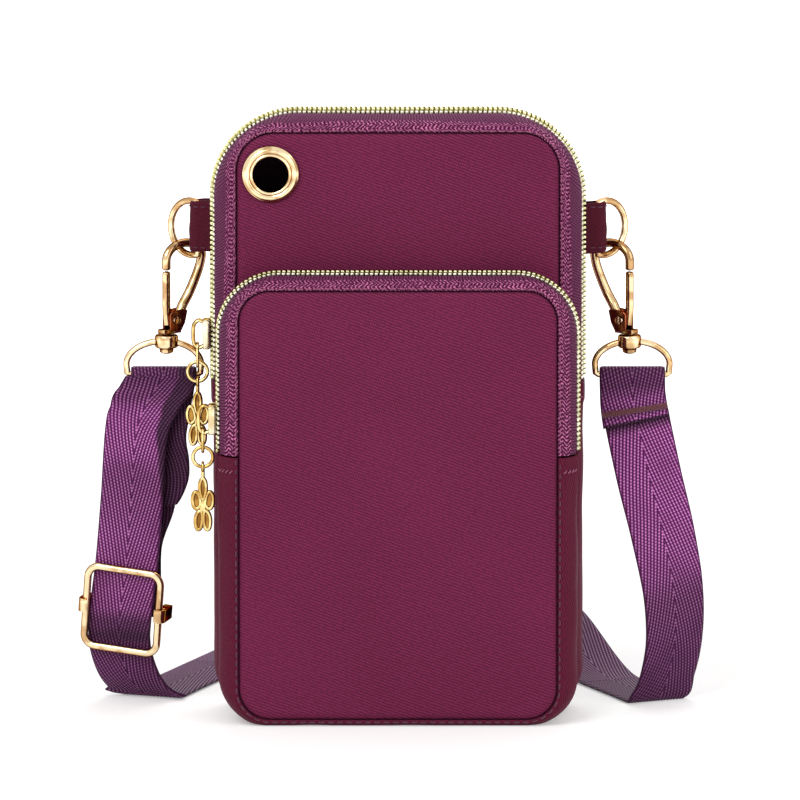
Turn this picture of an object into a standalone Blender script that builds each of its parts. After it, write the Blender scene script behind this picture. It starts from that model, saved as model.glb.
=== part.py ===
"""A small nylon crossbody bag with two zipped compartments and a clip-on webbing strap.

The bag stands on its flat bottom. Its front is at -Y, +X is to the right and +Z is up.
The origin is the centre of the main body's flat bottom face.
"""

import math

import bmesh
import bpy
from mathutils import Matrix, Vector

MM = 0.001

# Gaps and cloth thicknesses
GAP = 0.3 * MM
FABRIC = 1.2 * MM
TAPE = 1.0 * MM
FOAM = 2.0 * MM
LINING = 0.6 * MM
OVERRUN = 5.0 * MM

# Main body: the crest is the outermost line, where the zip runs; the seams join the flat panels.
# A shoulder is how far the crest stands out past a seam.
BODY_HALF_DEPTH = 11.0 * MM
CREST_HALF = 54.0 * MM
CREST_TOP = 177.6 * MM
CREST_TOP_RADIUS = 25.0 * MM
CREST_LOW_RADIUS = 15.0 * MM
SIDE_SHOULDER = 7.0 * MM
TOP_SHOULDER = 5.6 * MM
LOW_SHOULDER = 3.0 * MM
CORNER_SHOULDER = 6.0 * MM
SEAM_HALF = CREST_HALF - SIDE_SHOULDER
SEAM_TOP = CREST_TOP - TOP_SHOULDER
SEAM_TOP_RADIUS = CREST_TOP_RADIUS - CORNER_SHOULDER
SEAM_LOW = 2.0 * MM
SEAM_LOW_RADIUS = CREST_LOW_RADIUS - CORNER_SHOULDER
CREST_LOW = SEAM_LOW - LOW_SHOULDER
MAIN_ZIP_END = 97.5 * MM
FRONT_CROWN = 1.5 * MM
BACK_CROWN = 2.0 * MM
FOAM_INSET = 2.0 * MM

# Fold line across the front, on which both flaps tip forward
FOLD_Z = 78.0 * MM
FOLD_CLEARANCE = 0.5 * MM

# Front pocket, a little narrower and lower than the body
POCKET_DEPTH = 18.0 * MM
POCKET_STEP = 1.7 * MM
POCKET_DROP = 45.2 * MM
POCKET_CREST_HALF = CREST_HALF - POCKET_STEP
POCKET_CREST_TOP = CREST_TOP - POCKET_DROP
POCKET_CREST_TOP_RADIUS = 18.0 * MM
POCKET_SIDE_SHOULDER = 6.0 * MM
POCKET_TOP_SHOULDER = 4.0 * MM
POCKET_SEAM_HALF = POCKET_CREST_HALF - POCKET_SIDE_SHOULDER
POCKET_SEAM_TOP = POCKET_CREST_TOP - POCKET_TOP_SHOULDER
POCKET_SEAM_TOP_RADIUS = POCKET_CREST_TOP_RADIUS - POCKET_TOP_SHOULDER
POCKET_ZIP_RISE = 1.6 * MM
POCKET_ZIP_END = FOLD_Z + POCKET_ZIP_RISE
POCKET_CROWN = 2.5 * MM

# Zip teeth, two rows side by side on the crest, and the slit that the tapes leave for them
TOOTH_ROW = 1.6 * MM
TOOTH_OUT = 0.5 * MM
TOOTH_IN = 1.3 * MM
TAPE_CLEARANCE = 0.45 * MM

# Zip slider, its bridge and the chain that hangs from it
SLIDER_LENGTH = 9.0 * MM
SLIDER_HALF_WIDTH = 2.6 * MM
SLIDER_PLATE = 1.0 * MM
SLIDER_TAPER = 0.9 * MM
BRIDGE_HALF = 4.0 * MM
BRIDGE_REACH = 1.2 * MM
BRIDGE_WIRE = 0.5 * MM
MAIN_SLIDER_RISE = 13.5 * MM
POCKET_SLIDER_RISE = 9.7 * MM
MAIN_SLIDER_Z = MAIN_ZIP_END + MAIN_SLIDER_RISE
POCKET_SLIDER_Z = POCKET_ZIP_END + POCKET_SLIDER_RISE
CHAIN_OUT = 4.4 * MM
LINK_WIRE = 0.45 * MM
LINK_HALF_WIDTH = 1.6 * MM
LINK_HEIGHT = 6.8 * MM
JUMP_WIRE = 0.55 * MM
JUMP_RADIUS = 2.9 * MM
CHARM_EYE_RADIUS = 1.2 * MM
CHARM_EYE_WIRE = 0.4 * MM
CHARM_THICKNESS = 1.4 * MM
CHARM_HALF_WIDTH = 3.6 * MM
CHARM_HALF_HEIGHT = 8.8 * MM
CHARM_STEM = 1.6 * MM
CHARM_HOLE = 0.8 * MM
CHARM_PETALS = 5
PETAL_DEPTH_SHARE = 0.42

# Eyelet near the upper left corner: its centre lies inside the seam's corner arc by the margin
EYELET_MARGIN = 7.6 * MM
EYELET_ANGLE = math.radians(37.9)
EYELET_OUT = (SEAM_TOP_RADIUS - EYELET_MARGIN) * math.cos(EYELET_ANGLE)
EYELET_UP = (SEAM_TOP_RADIUS - EYELET_MARGIN) * math.sin(EYELET_ANGLE)
EYELET_X = SEAM_TOP_RADIUS - SEAM_HALF - EYELET_OUT
EYELET_Z = SEAM_TOP - SEAM_TOP_RADIUS + EYELET_UP
EYELET_RADIUS = 8.3 * MM
EYELET_BORE = 5.2 * MM
EYELET_WALL = 0.5 * MM
EYELET_RIM = 0.9 * MM
EYELET_EDGE = 0.36 * MM

# Side tabs and D-rings
TAB_Z = 141.2 * MM
TAB_HALF = 6.7 * MM
TAB_REACH = 4.3 * MM
TAB_Y = 5.2 * MM
TAB_REAR_Y = 8.8 * MM
TAB_STAND = 0.4 * MM
D_WIRE = 1.0 * MM
D_HALF = 8.0 * MM
D_LEG = 4.0 * MM
D_BOW = 6.0 * MM
D_ANGLE = math.radians(38)

# Snap hook, in its own plane: u runs from the gate towards the spine and w up from the collar
HOOK_ANGLE = math.radians(38)
HOOK_SPAN = 13.0 * MM
HOOK_HEIGHT = 26.2 * MM
HOOK_WIRE = 1.35 * MM
HOOK_GRIP = 5.2 * MM
HOOK_CLEARANCE = 0.8 * MM
NOSE_LOW = 18.7 * MM
SPINE_SHARES = ((0.45, 0.30), (0.62, 0.42), (0.80, 0.58), (0.93, 0.72), (0.99, 0.83))
CROOK_SHARE = 0.72
GATE_WIRE = 1.3 * MM
GATE_FLAT = 1.1 * MM
GATE_ROOT = 0.9 * MM
GATE_ROOT_RISE = 1.3 * MM
GATE_BEND_RISE = 4.2 * MM
CHEEK_INNER = 1.1 * MM
CHEEK_OUTER = 2.0 * MM
BASE_HEIGHT = 1.4 * MM
RIVET_U = 2.2 * MM
RIVET_W = 4.0 * MM
RIVET_RADIUS = 0.7 * MM
RIVET_HEAD = 1.3 * MM
RIVET_HEAD_HEIGHT = 0.5 * MM
GATE_EYE = 1.9 * MM
GATE_EYE_HALF = 0.4 * MM
SPRING_WIRE = 0.15 * MM
SPRING_CLEARANCE = 0.12 * MM
SPRING_TURNS = 2
POST_RADIUS = 1.0 * MM
POST_HEAD = 2.1 * MM
POST_HEAD_HEIGHT = 1.5 * MM

# Strap ring with the swivel collar
RING_WIRE = 0.95 * MM
RING_HALF = 10.9 * MM
RING_SHOULDER = 3.0 * MM
RING_HEIGHT = 9.8 * MM
RING_OFFSET = 0.8 * MM
COLLAR_RADIUS = 3.4 * MM
COLLAR_HALF = 1.9 * MM
COLLAR_BORE = 1.35 * MM

# Webbing strap. Each strand hangs from its ring, bows outwards by the sway and backwards by the
# set-back; a route's places are shares of (sway, set-back, ring height), with the width's turn in degrees.
WEB_HALF = 9.6 * MM
WEB = 1.2 * MM
SWAY = 12.5 * MM
SET_BACK = 5.2 * MM
LEFT_NECK_SHARES = ((0.18, -0.25, 0.96, -4), (0.44, -0.13, 0.901, -12))
LEFT_RUN_SHARES = ((0.65, 0.0, 0.814, -18), (1.0, 1.0, 0.173, -18))
LEFT_FOOT_SHARES = ((0.86, 1.46, 0.085, -20), (0.57, 2.08, 0.028, -21))
LEFT_FLOOR_SHARES = (0.27, 2.62, 0.0)
LEFT_HEADING = 68.0
RIGHT_NECK_SHARES = ((0.02, 0.23, 0.936, 0), (0.13, 0.15, 0.854, 0), (0.40, 0.04, 0.692, 6))
RIGHT_BOW_SHARES = ((0.72, 0.12, 0.519, 14), (0.97, 0.31, 0.341, 24), (1.0, 0.54, 0.193, 30))
RIGHT_FOOT_SHARES = ((0.82, 0.85, 0.071, 32),)
RIGHT_FLOOR_SHARES = (0.58, 1.17, 0.0)
RIGHT_HEADING = 115.0
RIGHT_TAIL_SHARES = ((0.1, -0.19, 0.858), (0.02, -0.23, 0.926))
RUN_SHARES = (0.3, 0.7, 1.0)
LEFT_LEG_SHARES = (0.3, 1.0)
RIGHT_LEG_SHARES = (0.4, 1.0)
LEFT_TAIL = 41.5 * MM
TAIL_SHIFT = 2.0 * MM
LAYER_PITCH = 1.5 * MM
LAYERS = 9
HANK_HALF = 38.0 * MM
HANK_Y = 96.0 * MM
LEFT_CUT = 34.0 * MM
RIGHT_CUT = 30.0 * MM

# Slider buckle on the left strand
BUCKLE_Z = 28.0 * MM
BUCKLE_HALF_WIDTH = 11.2 * MM
BUCKLE_HALF_HEIGHT = 12.0 * MM
BUCKLE_WIRE = 1.1 * MM
BUCKLE_CORNER = 2.5 * MM
BAR_RADIUS = 0.9 * MM
CAP_HALF = 2.0 * MM
CAP_WALL = 0.8 * MM
CAP_LIP = 0.3 * MM
CAP_TURN = math.radians(117)
END_LOOP = 33.0 * MM
END_LOOP_FRONT = 9.0 * MM

# How finely curves are stepped
SIDE_STEPS = 4
CORNER_STEPS = 5
FAR_STEPS = 4
PLATE_RING_SHARES = (1.0, 0.72, 0.4)
ROUTE_STEPS = 4
WRAP_STEPS = 6
UP = Vector((0, 0, 1))
FLOOR_LIFT = UP * (WEB / 2)


def clear_scene():
    for item in list(bpy.data.objects):
        bpy.data.objects.remove(item, do_unlink=True)


def make_material(name, color, roughness, metallic=0.0):
    material = bpy.data.materials.new(name)
    material.use_nodes = True
    shader = material.node_tree.nodes["Principled BSDF"]
    shader.inputs["Base Color"].default_value = (*color, 1.0)
    shader.inputs["Roughness"].default_value = roughness
    shader.inputs["Metallic"].default_value = metallic
    return material


def pivot(name, place, parent=None):
    """An empty on a joint's axis that carries what the joint moves."""
    empty = bpy.data.objects.new(name, None)
    bpy.context.collection.objects.link(empty)
    empty["place"] = tuple(place)
    empty.location = Vector(place)
    if parent is not None:
        empty.parent = parent
        empty.location = Vector(place) - Vector(parent["place"])
    return empty


def add_piece(name, shape, material, carrier=None, guide=False):
    """An object from (vertices, faces) given in world coordinates."""
    vertices, faces = shape
    mesh = bpy.data.meshes.new(name)
    mesh.from_pydata([tuple(v) for v in vertices], [], faces)
    work = bmesh.new()
    work.from_mesh(mesh)
    bmesh.ops.recalc_face_normals(work, faces=work.faces)
    work.to_mesh(mesh)
    work.free()
    mesh.materials.append(material)
    mesh.shade_smooth()
    mesh.set_sharp_from_angle(angle=math.radians(40))
    piece = bpy.data.objects.new(name, mesh)
    bpy.context.collection.objects.link(piece)
    if carrier is not None:
        piece.parent = carrier
        piece.location = -Vector(carrier["place"])
    if guide:
        piece.hide_render = True
        piece.display_type = "WIRE"
    return piece


def combine(piece, shape, operation, carrier=None):
    """Add a Boolean of the shape to the piece."""
    name = f"{piece.name}_{operation.lower()}_{len(piece.modifiers)}"
    guide = add_piece(name, shape, piece.data.materials[0], carrier, guide=True)
    step = piece.modifiers.new(name, "BOOLEAN")
    step.operation = operation
    step.object = guide
    step.solver = "EXACT"


def grid_shell(outer, inner):
    """A closed sheet from two matching grids of points."""
    rows, columns = len(outer), len(outer[0])
    vertices = [p for row in outer for p in row] + [p for row in inner for p in row]
    lift = rows * columns
    faces = []
    for r in range(rows - 1):
        for c in range(columns - 1):
            a, b = r * columns + c, (r + 1) * columns + c
            faces.append((a, a + 1, b + 1, b))
            faces.append((lift + a, lift + b, lift + b + 1, lift + a + 1))
    border = [c for c in range(columns)]
    border += [r * columns + columns - 1 for r in range(1, rows)]
    border += [(rows - 1) * columns + c for c in reversed(range(columns - 1))]
    border += [r * columns for r in reversed(range(1, rows - 1))]
    for a, b in zip(border, border[1:] + border[:1]):
        faces.append((a, b, lift + b, lift + a))
    return vertices, faces


def loop_solid(rings, closed):
    """A solid from equal rings of points, its ends joined or capped."""
    sides = len(rings[0])
    vertices = [p for ring in rings for p in ring]
    faces = []
    spans = len(rings) if closed else len(rings) - 1
    for i in range(spans):
        j = (i + 1) % len(rings)
        for k in range(sides):
            m = (k + 1) % sides
            faces.append((i * sides + k, i * sides + m, j * sides + m, j * sides + k))
    if not closed:
        last = (len(rings) - 1) * sides
        faces.append(tuple(range(sides)))
        faces.append(tuple(last + k for k in reversed(range(sides))))
    return vertices, faces


def ribbon(stations, thickness):
    """A flat strip; each station is its centre, its half width vector and its normal."""
    rings = []
    for centre, half, normal in stations:
        lift = normal * (thickness / 2)
        near, far = centre - half, centre + half
        rings.append([near - lift, far - lift, far + lift, near + lift])
    return loop_solid(rings, closed=False)


def wire(path, plane_normal, radius, sides=6, closed=True, flat=None):
    """A bar along a path in one plane; radius may be a list, and flat is its size across the plane."""
    rings = []
    count = len(path)
    for i, point in enumerate(path):
        before = path[i - 1] if closed or i > 0 else point
        after = path[(i + 1) % count] if closed or i < count - 1 else point
        side = (after - before).cross(plane_normal).normalized()
        across = radius[i] if isinstance(radius, list) else radius
        deep = across if flat is None else flat
        ring = []
        for k in range(sides):
            angle = math.tau * (k + 0.5) / sides
            reach = side * (across * math.cos(angle)) + plane_normal * (deep * math.sin(angle))
            ring.append(point + reach)
        rings.append(ring)
    return loop_solid(rings, closed)


def turned(profile, base, axis, steps=16):
    """A solid turned round an axis; the profile lists (radius, height) and closes on itself."""
    axis = axis.normalized()
    side = axis.orthogonal().normalized()
    other = axis.cross(side)
    vertices, rings = [], []
    for radius, height in profile:
        centre = base + axis * height
        if radius == 0:
            rings.append([len(vertices)] * steps)
            vertices.append(centre)
            continue
        rings.append(list(range(len(vertices), len(vertices) + steps)))
        for k in range(steps):
            angle = math.tau * k / steps
            reach = side * math.cos(angle) + other * math.sin(angle)
            vertices.append(centre + reach * radius)
    faces = []
    on_axis = profile[0][0] == 0
    pairs = zip(rings, rings[1:] if on_axis else rings[1:] + rings[:1])
    for low, high in pairs:
        for k in range(steps):
            m = (k + 1) % steps
            corners = [low[k], low[m], high[m], high[k]]
            faces.append(tuple(dict.fromkeys(corners)))
    return vertices, faces


def pin(base, axis, radius, length, steps=16):
    """A plain cylinder."""
    return turned([(0, 0), (radius, 0), (radius, length), (0, length)], base, axis, steps)


def prism(outline, frame, low, high):
    """An outline of (u, w) points made solid between two places along the frame's v."""
    rings = [[frame @ Vector((u, v, w)) for u, w in outline] for v in (low, high)]
    return loop_solid(rings, closed=False)


def local_frame(origin, u_axis, w_axis=UP):
    """The matrix that takes (u, v, w) to the world, v completing the frame."""
    u_axis, w_axis = u_axis.normalized(), w_axis.normalized()
    v_axis = w_axis.cross(u_axis)
    frame = Matrix.Identity(4)
    for column, vector in enumerate((u_axis, v_axis, w_axis, origin)):
        frame[0][column], frame[1][column], frame[2][column] = vector
    return frame


def arch(half, end, far, radius):
    """Points from (-half, end) round the edge at height far to (half, end)."""
    turn = math.copysign(1, far - end)
    corner = far - turn * radius
    left = []
    for i in range(SIDE_STEPS):
        left.append((-half, end + (corner - end) * i / SIDE_STEPS))
    for i in range(CORNER_STEPS + 1):
        angle = math.pi / 2 * i / CORNER_STEPS
        left.append((-half + radius - radius * math.cos(angle), corner + turn * radius * math.sin(angle)))
    middle = []
    for i in range(1, FAR_STEPS):
        middle.append(((half - radius) * (2 * i / FAR_STEPS - 1), far))
    return left + middle + [(-x, z) for x, z in reversed(left)]


def swell(x, z, half, low, top):
    """One at the middle of a panel and zero at its seams."""
    across = 1 - (x / half) ** 2
    along = 1 - ((2 * z - low - top) / (top - low)) ** 2
    return max(0.0, across) * max(0.0, along)


def front_y(x, z):
    return -BODY_HALF_DEPTH - FRONT_CROWN * swell(x, z, SEAM_HALF, SEAM_LOW, SEAM_TOP)


def back_y(x, z):
    return BODY_HALF_DEPTH + BACK_CROWN * swell(x, z, SEAM_HALF, SEAM_LOW, SEAM_TOP)


def pocket_y(x, z):
    low_edge = -BODY_HALF_DEPTH - POCKET_DEPTH
    return low_edge - POCKET_CROWN * swell(x, z, POCKET_SEAM_HALF, SEAM_LOW, POCKET_SEAM_TOP)


def pocket_rear_y(x, z):
    return front_y(x, z) - GAP


def plate(outline, depth, offset, thickness):
    """A crowned panel inside an outline; depth gives its outer face and offset moves it along Y."""
    middle = Vector((0, 0, sum(z for x, z in outline) / len(outline)))
    layers = []
    for shift in (offset, offset + thickness):
        rings = []
        for share in PLATE_RING_SHARES:
            ring = []
            for x, z in outline:
                px, pz = x * share, middle.z + (z - middle.z) * share
                ring.append(Vector((px, depth(px, pz) + shift, pz)))
            rings.append(ring)
        layers.append((rings, Vector((0, depth(0, middle.z) + shift, middle.z))))
    count = len(outline)
    size = count * len(PLATE_RING_SHARES) + 1
    vertices, faces = [], []
    for layer, (rings, centre) in enumerate(layers):
        base = layer * size
        vertices += [p for ring in rings for p in ring] + [centre]
        for r in range(len(rings) - 1):
            for k in range(count):
                m = (k + 1) % count
                a, b = base + r * count, base + (r + 1) * count
                faces.append((a + k, a + m, b + m, b + k))
        inner = base + (len(rings) - 1) * count
        for k in range(count):
            faces.append((inner + k, inner + (k + 1) % count, base + size - 1))
    for k in range(count):
        m = (k + 1) % count
        faces.append((k, m, size + m, size + k))
    return vertices, faces


def band(front, crest, rear, angles, thickness):
    """A curved strip from a front seam over a crest to a rear seam.

    front, crest and rear are (outline, depth) pairs. The angle is 0 at the front seam, 90 degrees
    at the crest and 180 at the rear seam. The strip is flat where it meets the floor at zero.
    """
    outer, inner = [], []
    crest_outline, crest_y = crest
    for i, (cx, cz) in enumerate(crest_outline):
        outer_row, inner_row = [], []
        for angle in angles:
            outline, depth = front if angle <= math.pi / 2 else rear
            sx, sz = outline[i]
            edge_y = depth(sx, sz)
            lift, lean = math.sin(angle), abs(math.cos(angle))
            dx, dz = cx - sx, cz - sz
            point = Vector((sx + dx * lift, crest_y + (edge_y - crest_y) * lean, sz + dz * lift))
            steep = lift / (dx * dx + dz * dz)
            normal = Vector((dx * steep, lean / (edge_y - crest_y), dz * steep))
            under = point - normal.normalized() * thickness
            point.z = max(point.z, 0.0)
            under.z = max(under.z, thickness)
            outer_row.append(point)
            inner_row.append(under)
        outer.append(outer_row)
        inner.append(inner_row)
    return grid_shell(outer, inner)


def spread(start, end, count):
    """Evenly spaced numbers from start to end."""
    return [start + (end - start) * i / (count - 1) for i in range(count)]


def tape_reach(half_depth):
    """The angle at which a tape's edge stops short of the teeth."""
    return math.acos((TOOTH_ROW + TAPE_CLEARANCE) / half_depth)


def teeth(outline, crest_y, side):
    """One row of zip teeth as a plain bead along the crest; side is -1 in front and 1 behind."""
    row_y = crest_y + side * (TOOTH_ROW + GAP) / 2
    stations = []
    last = len(outline) - 1
    for i, (x, z) in enumerate(outline):
        ax, az = outline[max(i - 1, 0)]
        bx, bz = outline[min(i + 1, last)]
        outward = Vector((az - bz, 0, bx - ax)).normalized()
        centre = Vector((x, row_y, z)) + outward * ((TOOTH_OUT - TOOTH_IN) / 2)
        stations.append((centre, Vector((0, TOOTH_ROW / 2, 0)), outward))
    return ribbon(stations, TOOTH_OUT + TOOTH_IN)


def build_body(looks, flap):
    """The main compartment: panels, padding, linings, gusset, zip tapes and teeth."""
    top = arch(SEAM_HALF - GAP, FOLD_Z + GAP, SEAM_TOP - GAP, SEAM_TOP_RADIUS - GAP)
    bottom = arch(SEAM_HALF - GAP, FOLD_Z - GAP, SEAM_LOW + GAP, SEAM_LOW_RADIUS - GAP)
    upper = add_piece("front_panel_upper", plate(top, front_y, 0.0, FABRIC), looks["nylon"], flap)
    add_piece("front_panel_lower", plate(bottom, front_y, 0.0, FABRIC), looks["nylon"])
    hole_start = Vector((EYELET_X, -BODY_HALF_DEPTH - FRONT_CROWN - OVERRUN, EYELET_Z))
    hole = pin(hole_start, Vector((0, 1, 0)), EYELET_BORE + EYELET_WALL + GAP, BODY_HALF_DEPTH, 24)
    combine(upper, hole, "DIFFERENCE", flap)

    inset = SEAM_HALF - FOAM_INSET
    lining = arch(inset, FOLD_Z + GAP, SEAM_TOP - FOAM_INSET, SEAM_TOP_RADIUS)
    lining_shape = plate(lining, front_y, FABRIC + GAP, LINING)
    front_lining = add_piece("front_lining", lining_shape, looks["lining"], flap)
    combine(front_lining, hole, "DIFFERENCE", flap)

    above = arch(SEAM_HALF - GAP, FOLD_Z, SEAM_TOP - GAP, SEAM_TOP_RADIUS - GAP)
    below = arch(SEAM_HALF - GAP, FOLD_Z, SEAM_LOW + GAP, SEAM_LOW_RADIUS - GAP)
    whole = above + list(reversed(below))[1:-1]
    add_piece("back_panel", plate(whole, back_y, -FABRIC, FABRIC), looks["nylon"])
    inner = arch(inset, FOLD_Z, SEAM_TOP - FOAM_INSET, SEAM_TOP_RADIUS)
    inner = inner + list(reversed(arch(inset, FOLD_Z, SEAM_LOW + FOAM_INSET, SEAM_LOW_RADIUS)))[1:-1]
    foam_shift = -FABRIC - GAP - FOAM
    add_piece("back_foam", plate(inner, back_y, foam_shift, FOAM), looks["foam"])
    add_piece("back_lining", plate(inner, back_y, foam_shift - GAP - LINING, LINING), looks["lining"])

    gusset_front = (arch(SEAM_HALF, MAIN_ZIP_END, SEAM_LOW, SEAM_LOW_RADIUS), front_y)
    gusset_back = (gusset_front[0], back_y)
    gusset_crest = (arch(CREST_HALF, MAIN_ZIP_END, CREST_LOW, CREST_LOW_RADIUS), 0.0)
    add_piece("body_gusset", band(gusset_front, gusset_crest, gusset_back, spread(0, math.pi, 9), TAPE),
              looks["gusset"])

    end = MAIN_ZIP_END + 2 * GAP
    seam = arch(SEAM_HALF, end, SEAM_TOP, SEAM_TOP_RADIUS)
    crest = arch(CREST_HALF, end, CREST_TOP - TOOTH_OUT, CREST_TOP_RADIUS)
    reach = tape_reach(BODY_HALF_DEPTH)
    front_angles = spread(0, reach, 4)
    back_angles = spread(math.pi - reach, math.pi, 4)
    sides = ((seam, front_y), (crest, 0.0), (seam, back_y))
    add_piece("main_tape_front", band(*sides, front_angles, TAPE), looks["tape"], flap)
    add_piece("main_tape_back", band(*sides, back_angles, TAPE), looks["tape"])
    add_piece("main_teeth_front", teeth(crest, 0.0, -1), looks["teeth"], flap)
    add_piece("main_teeth_back", teeth(crest, 0.0, 1), looks["teeth"])


def build_pocket(looks, flap, pocket_flap):
    """The front pocket: its panel, lining, gusset, zip tapes and teeth."""
    crest_y = -BODY_HALF_DEPTH - (POCKET_DEPTH + GAP) / 2
    top = arch(POCKET_SEAM_HALF - GAP, FOLD_Z + GAP, POCKET_SEAM_TOP - GAP, POCKET_SEAM_TOP_RADIUS - GAP)
    bottom = arch(POCKET_SEAM_HALF - GAP, FOLD_Z - GAP, SEAM_LOW + GAP, SEAM_LOW_RADIUS - GAP)
    add_piece("pocket_panel_upper", plate(top, pocket_y, 0.0, FABRIC), looks["nylon"], pocket_flap)
    add_piece("pocket_panel_lower", plate(bottom, pocket_y, 0.0, FABRIC), looks["nylon"])
    inner = arch(POCKET_SEAM_HALF - FOAM_INSET, FOLD_Z - GAP, SEAM_LOW + FOAM_INSET, SEAM_LOW_RADIUS)
    add_piece("pocket_lining", plate(inner, pocket_y, FABRIC + GAP, LINING), looks["lining"])

    front = (arch(POCKET_SEAM_HALF, POCKET_ZIP_END - GAP, SEAM_LOW, SEAM_LOW_RADIUS), pocket_y)
    rear = (arch(SEAM_HALF, POCKET_ZIP_END - GAP, SEAM_LOW, SEAM_LOW_RADIUS), pocket_rear_y)
    crest = (arch(POCKET_CREST_HALF, POCKET_ZIP_END - GAP, CREST_LOW, CREST_LOW_RADIUS), crest_y)
    add_piece("pocket_gusset", band(front, crest, rear, spread(0, math.pi, 9), TAPE), looks["gusset"])

    end = POCKET_ZIP_END + GAP
    front = (arch(POCKET_SEAM_HALF, end, POCKET_SEAM_TOP, POCKET_SEAM_TOP_RADIUS), pocket_y)
    rear = (arch(SEAM_HALF, end, POCKET_SEAM_TOP, POCKET_SEAM_TOP_RADIUS), pocket_rear_y)
    crest = (arch(POCKET_CREST_HALF, end, POCKET_CREST_TOP, POCKET_CREST_TOP_RADIUS), crest_y)
    front_angles = spread(0, tape_reach(POCKET_DEPTH / 2), 4)
    rear_angles = spread(math.pi - tape_reach(POCKET_DEPTH / 2 - FRONT_CROWN), math.pi, 4)
    tape = looks["tape"]
    add_piece("pocket_tape_front", band(front, crest, rear, front_angles, TAPE), tape, pocket_flap)
    add_piece("pocket_tape_rear", band(front, crest, rear, rear_angles, TAPE), tape, flap)
    add_piece("pocket_teeth_front", teeth(crest[0], crest_y, -1), looks["teeth"], pocket_flap)
    add_piece("pocket_teeth_rear", teeth(crest[0], crest_y, 1), looks["teeth"], flap)


def build_eyelet(looks, flap):
    """The metal eyelet in the front panel and its washer behind the lining."""
    face = front_y(EYELET_X, EYELET_Z)
    inward = Vector((0, 1, 0))
    base = Vector((EYELET_X, face, EYELET_Z))
    stack = FABRIC + GAP + LINING
    wall = EYELET_BORE + EYELET_WALL
    lip = -GAP - GAP
    profile = [
        (EYELET_BORE, lip - EYELET_RIM),
        ((EYELET_BORE + EYELET_RADIUS) / 2, lip - EYELET_RIM - EYELET_EDGE),
        (EYELET_RADIUS, lip - EYELET_EDGE),
        (EYELET_RADIUS, lip),
        (wall, lip),
        (wall, stack + 2 * GAP),
        (EYELET_BORE, stack + 2 * GAP),
    ]
    add_piece("eyelet", turned(profile, base, inward, 24), looks["gold"], flap)
    seat = stack + 2 * GAP
    bore = wall + GAP
    back = seat + EYELET_WALL
    washer = [(bore, seat), (EYELET_RADIUS, seat), (EYELET_RADIUS, back), (bore, back)]
    add_piece("eyelet_washer", turned(washer, base, inward, 24), looks["gold"], flap)


def ellipse_loop(frame, half_u, half_w, steps=14):
    points = []
    for k in range(steps):
        angle = math.tau * k / steps
        points.append(frame @ Vector((half_u * math.cos(angle), 0, half_w * math.sin(angle))))
    return points


def slot_loop(frame, half_u, half_w, steps=5):
    """A closed oval of two straight sides and two half circles, upright in the frame."""
    points = []
    straight = half_w - half_u
    for k in range(steps + 1):
        angle = math.pi * k / steps
        points.append(frame @ Vector((half_u * math.cos(angle), 0, straight + half_u * math.sin(angle))))
    for k in range(steps + 1):
        angle = math.pi * (1 + k / steps)
        points.append(frame @ Vector((half_u * math.cos(angle), 0, -straight + half_u * math.sin(angle))))
    return points


def slider_body(name, crest_half, crest_y, z, material, carrier):
    """The slider outside the teeth on the left run, with the bridge that carries the chain."""
    inner = -(crest_half + TOOTH_OUT + GAP)
    outer = inner - SLIDER_PLATE
    low, high = z - SLIDER_LENGTH / 2, z + SLIDER_LENGTH / 2
    narrow = SLIDER_HALF_WIDTH - SLIDER_TAPER
    outline = [
        (-SLIDER_HALF_WIDTH, high), (SLIDER_HALF_WIDTH, high), (SLIDER_HALF_WIDTH, z),
        (narrow, low), (-narrow, low), (-SLIDER_HALF_WIDTH, z),
    ]
    frame = local_frame(Vector((0, crest_y, 0)), Vector((0, 1, 0)))
    body = add_piece(name, prism(outline, frame, -inner, -outer), material, carrier)
    flange = [(TOOTH_ROW + 2 * GAP, low), (SLIDER_HALF_WIDTH, low), (SLIDER_HALF_WIDTH, high),
              (TOOTH_ROW + 2 * GAP, high)]
    flange_reach = crest_half + GAP
    combine(body, prism(flange, frame, flange_reach, -outer - SLIDER_PLATE / 2), "UNION", carrier)
    root = outer + SLIDER_PLATE / 2
    reach = -(crest_half + CHAIN_OUT) - BRIDGE_REACH
    bend = BRIDGE_REACH / 2
    path = [Vector((root, crest_y, z + BRIDGE_HALF)), Vector((reach + bend, crest_y, z + BRIDGE_HALF))]
    path += [Vector((reach, crest_y, z + BRIDGE_HALF - bend))]
    path += [Vector((reach, crest_y, z - BRIDGE_HALF + bend))]
    path += [Vector((reach + bend, crest_y, z - BRIDGE_HALF)), Vector((root, crest_y, z - BRIDGE_HALF))]
    combine(body, wire(path, Vector((0, 1, 0)), BRIDGE_WIRE, 8, closed=False), "UNION", carrier)


def charm_outline():
    """A plain flower outline: shallow petals round a centre, drawn out tall."""
    points = []
    steps = 6 * CHARM_PETALS
    for k in range(steps):
        angle = math.tau * k / steps
        petal = abs(math.cos(CHARM_PETALS * (angle - math.pi / 2) / 2))
        reach = 1 - PETAL_DEPTH_SHARE * (1 - petal)
        across, up = math.cos(angle), math.sin(angle)
        points.append((CHARM_HALF_WIDTH * reach * across, CHARM_HALF_HEIGHT * reach * up))
    return points


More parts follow.
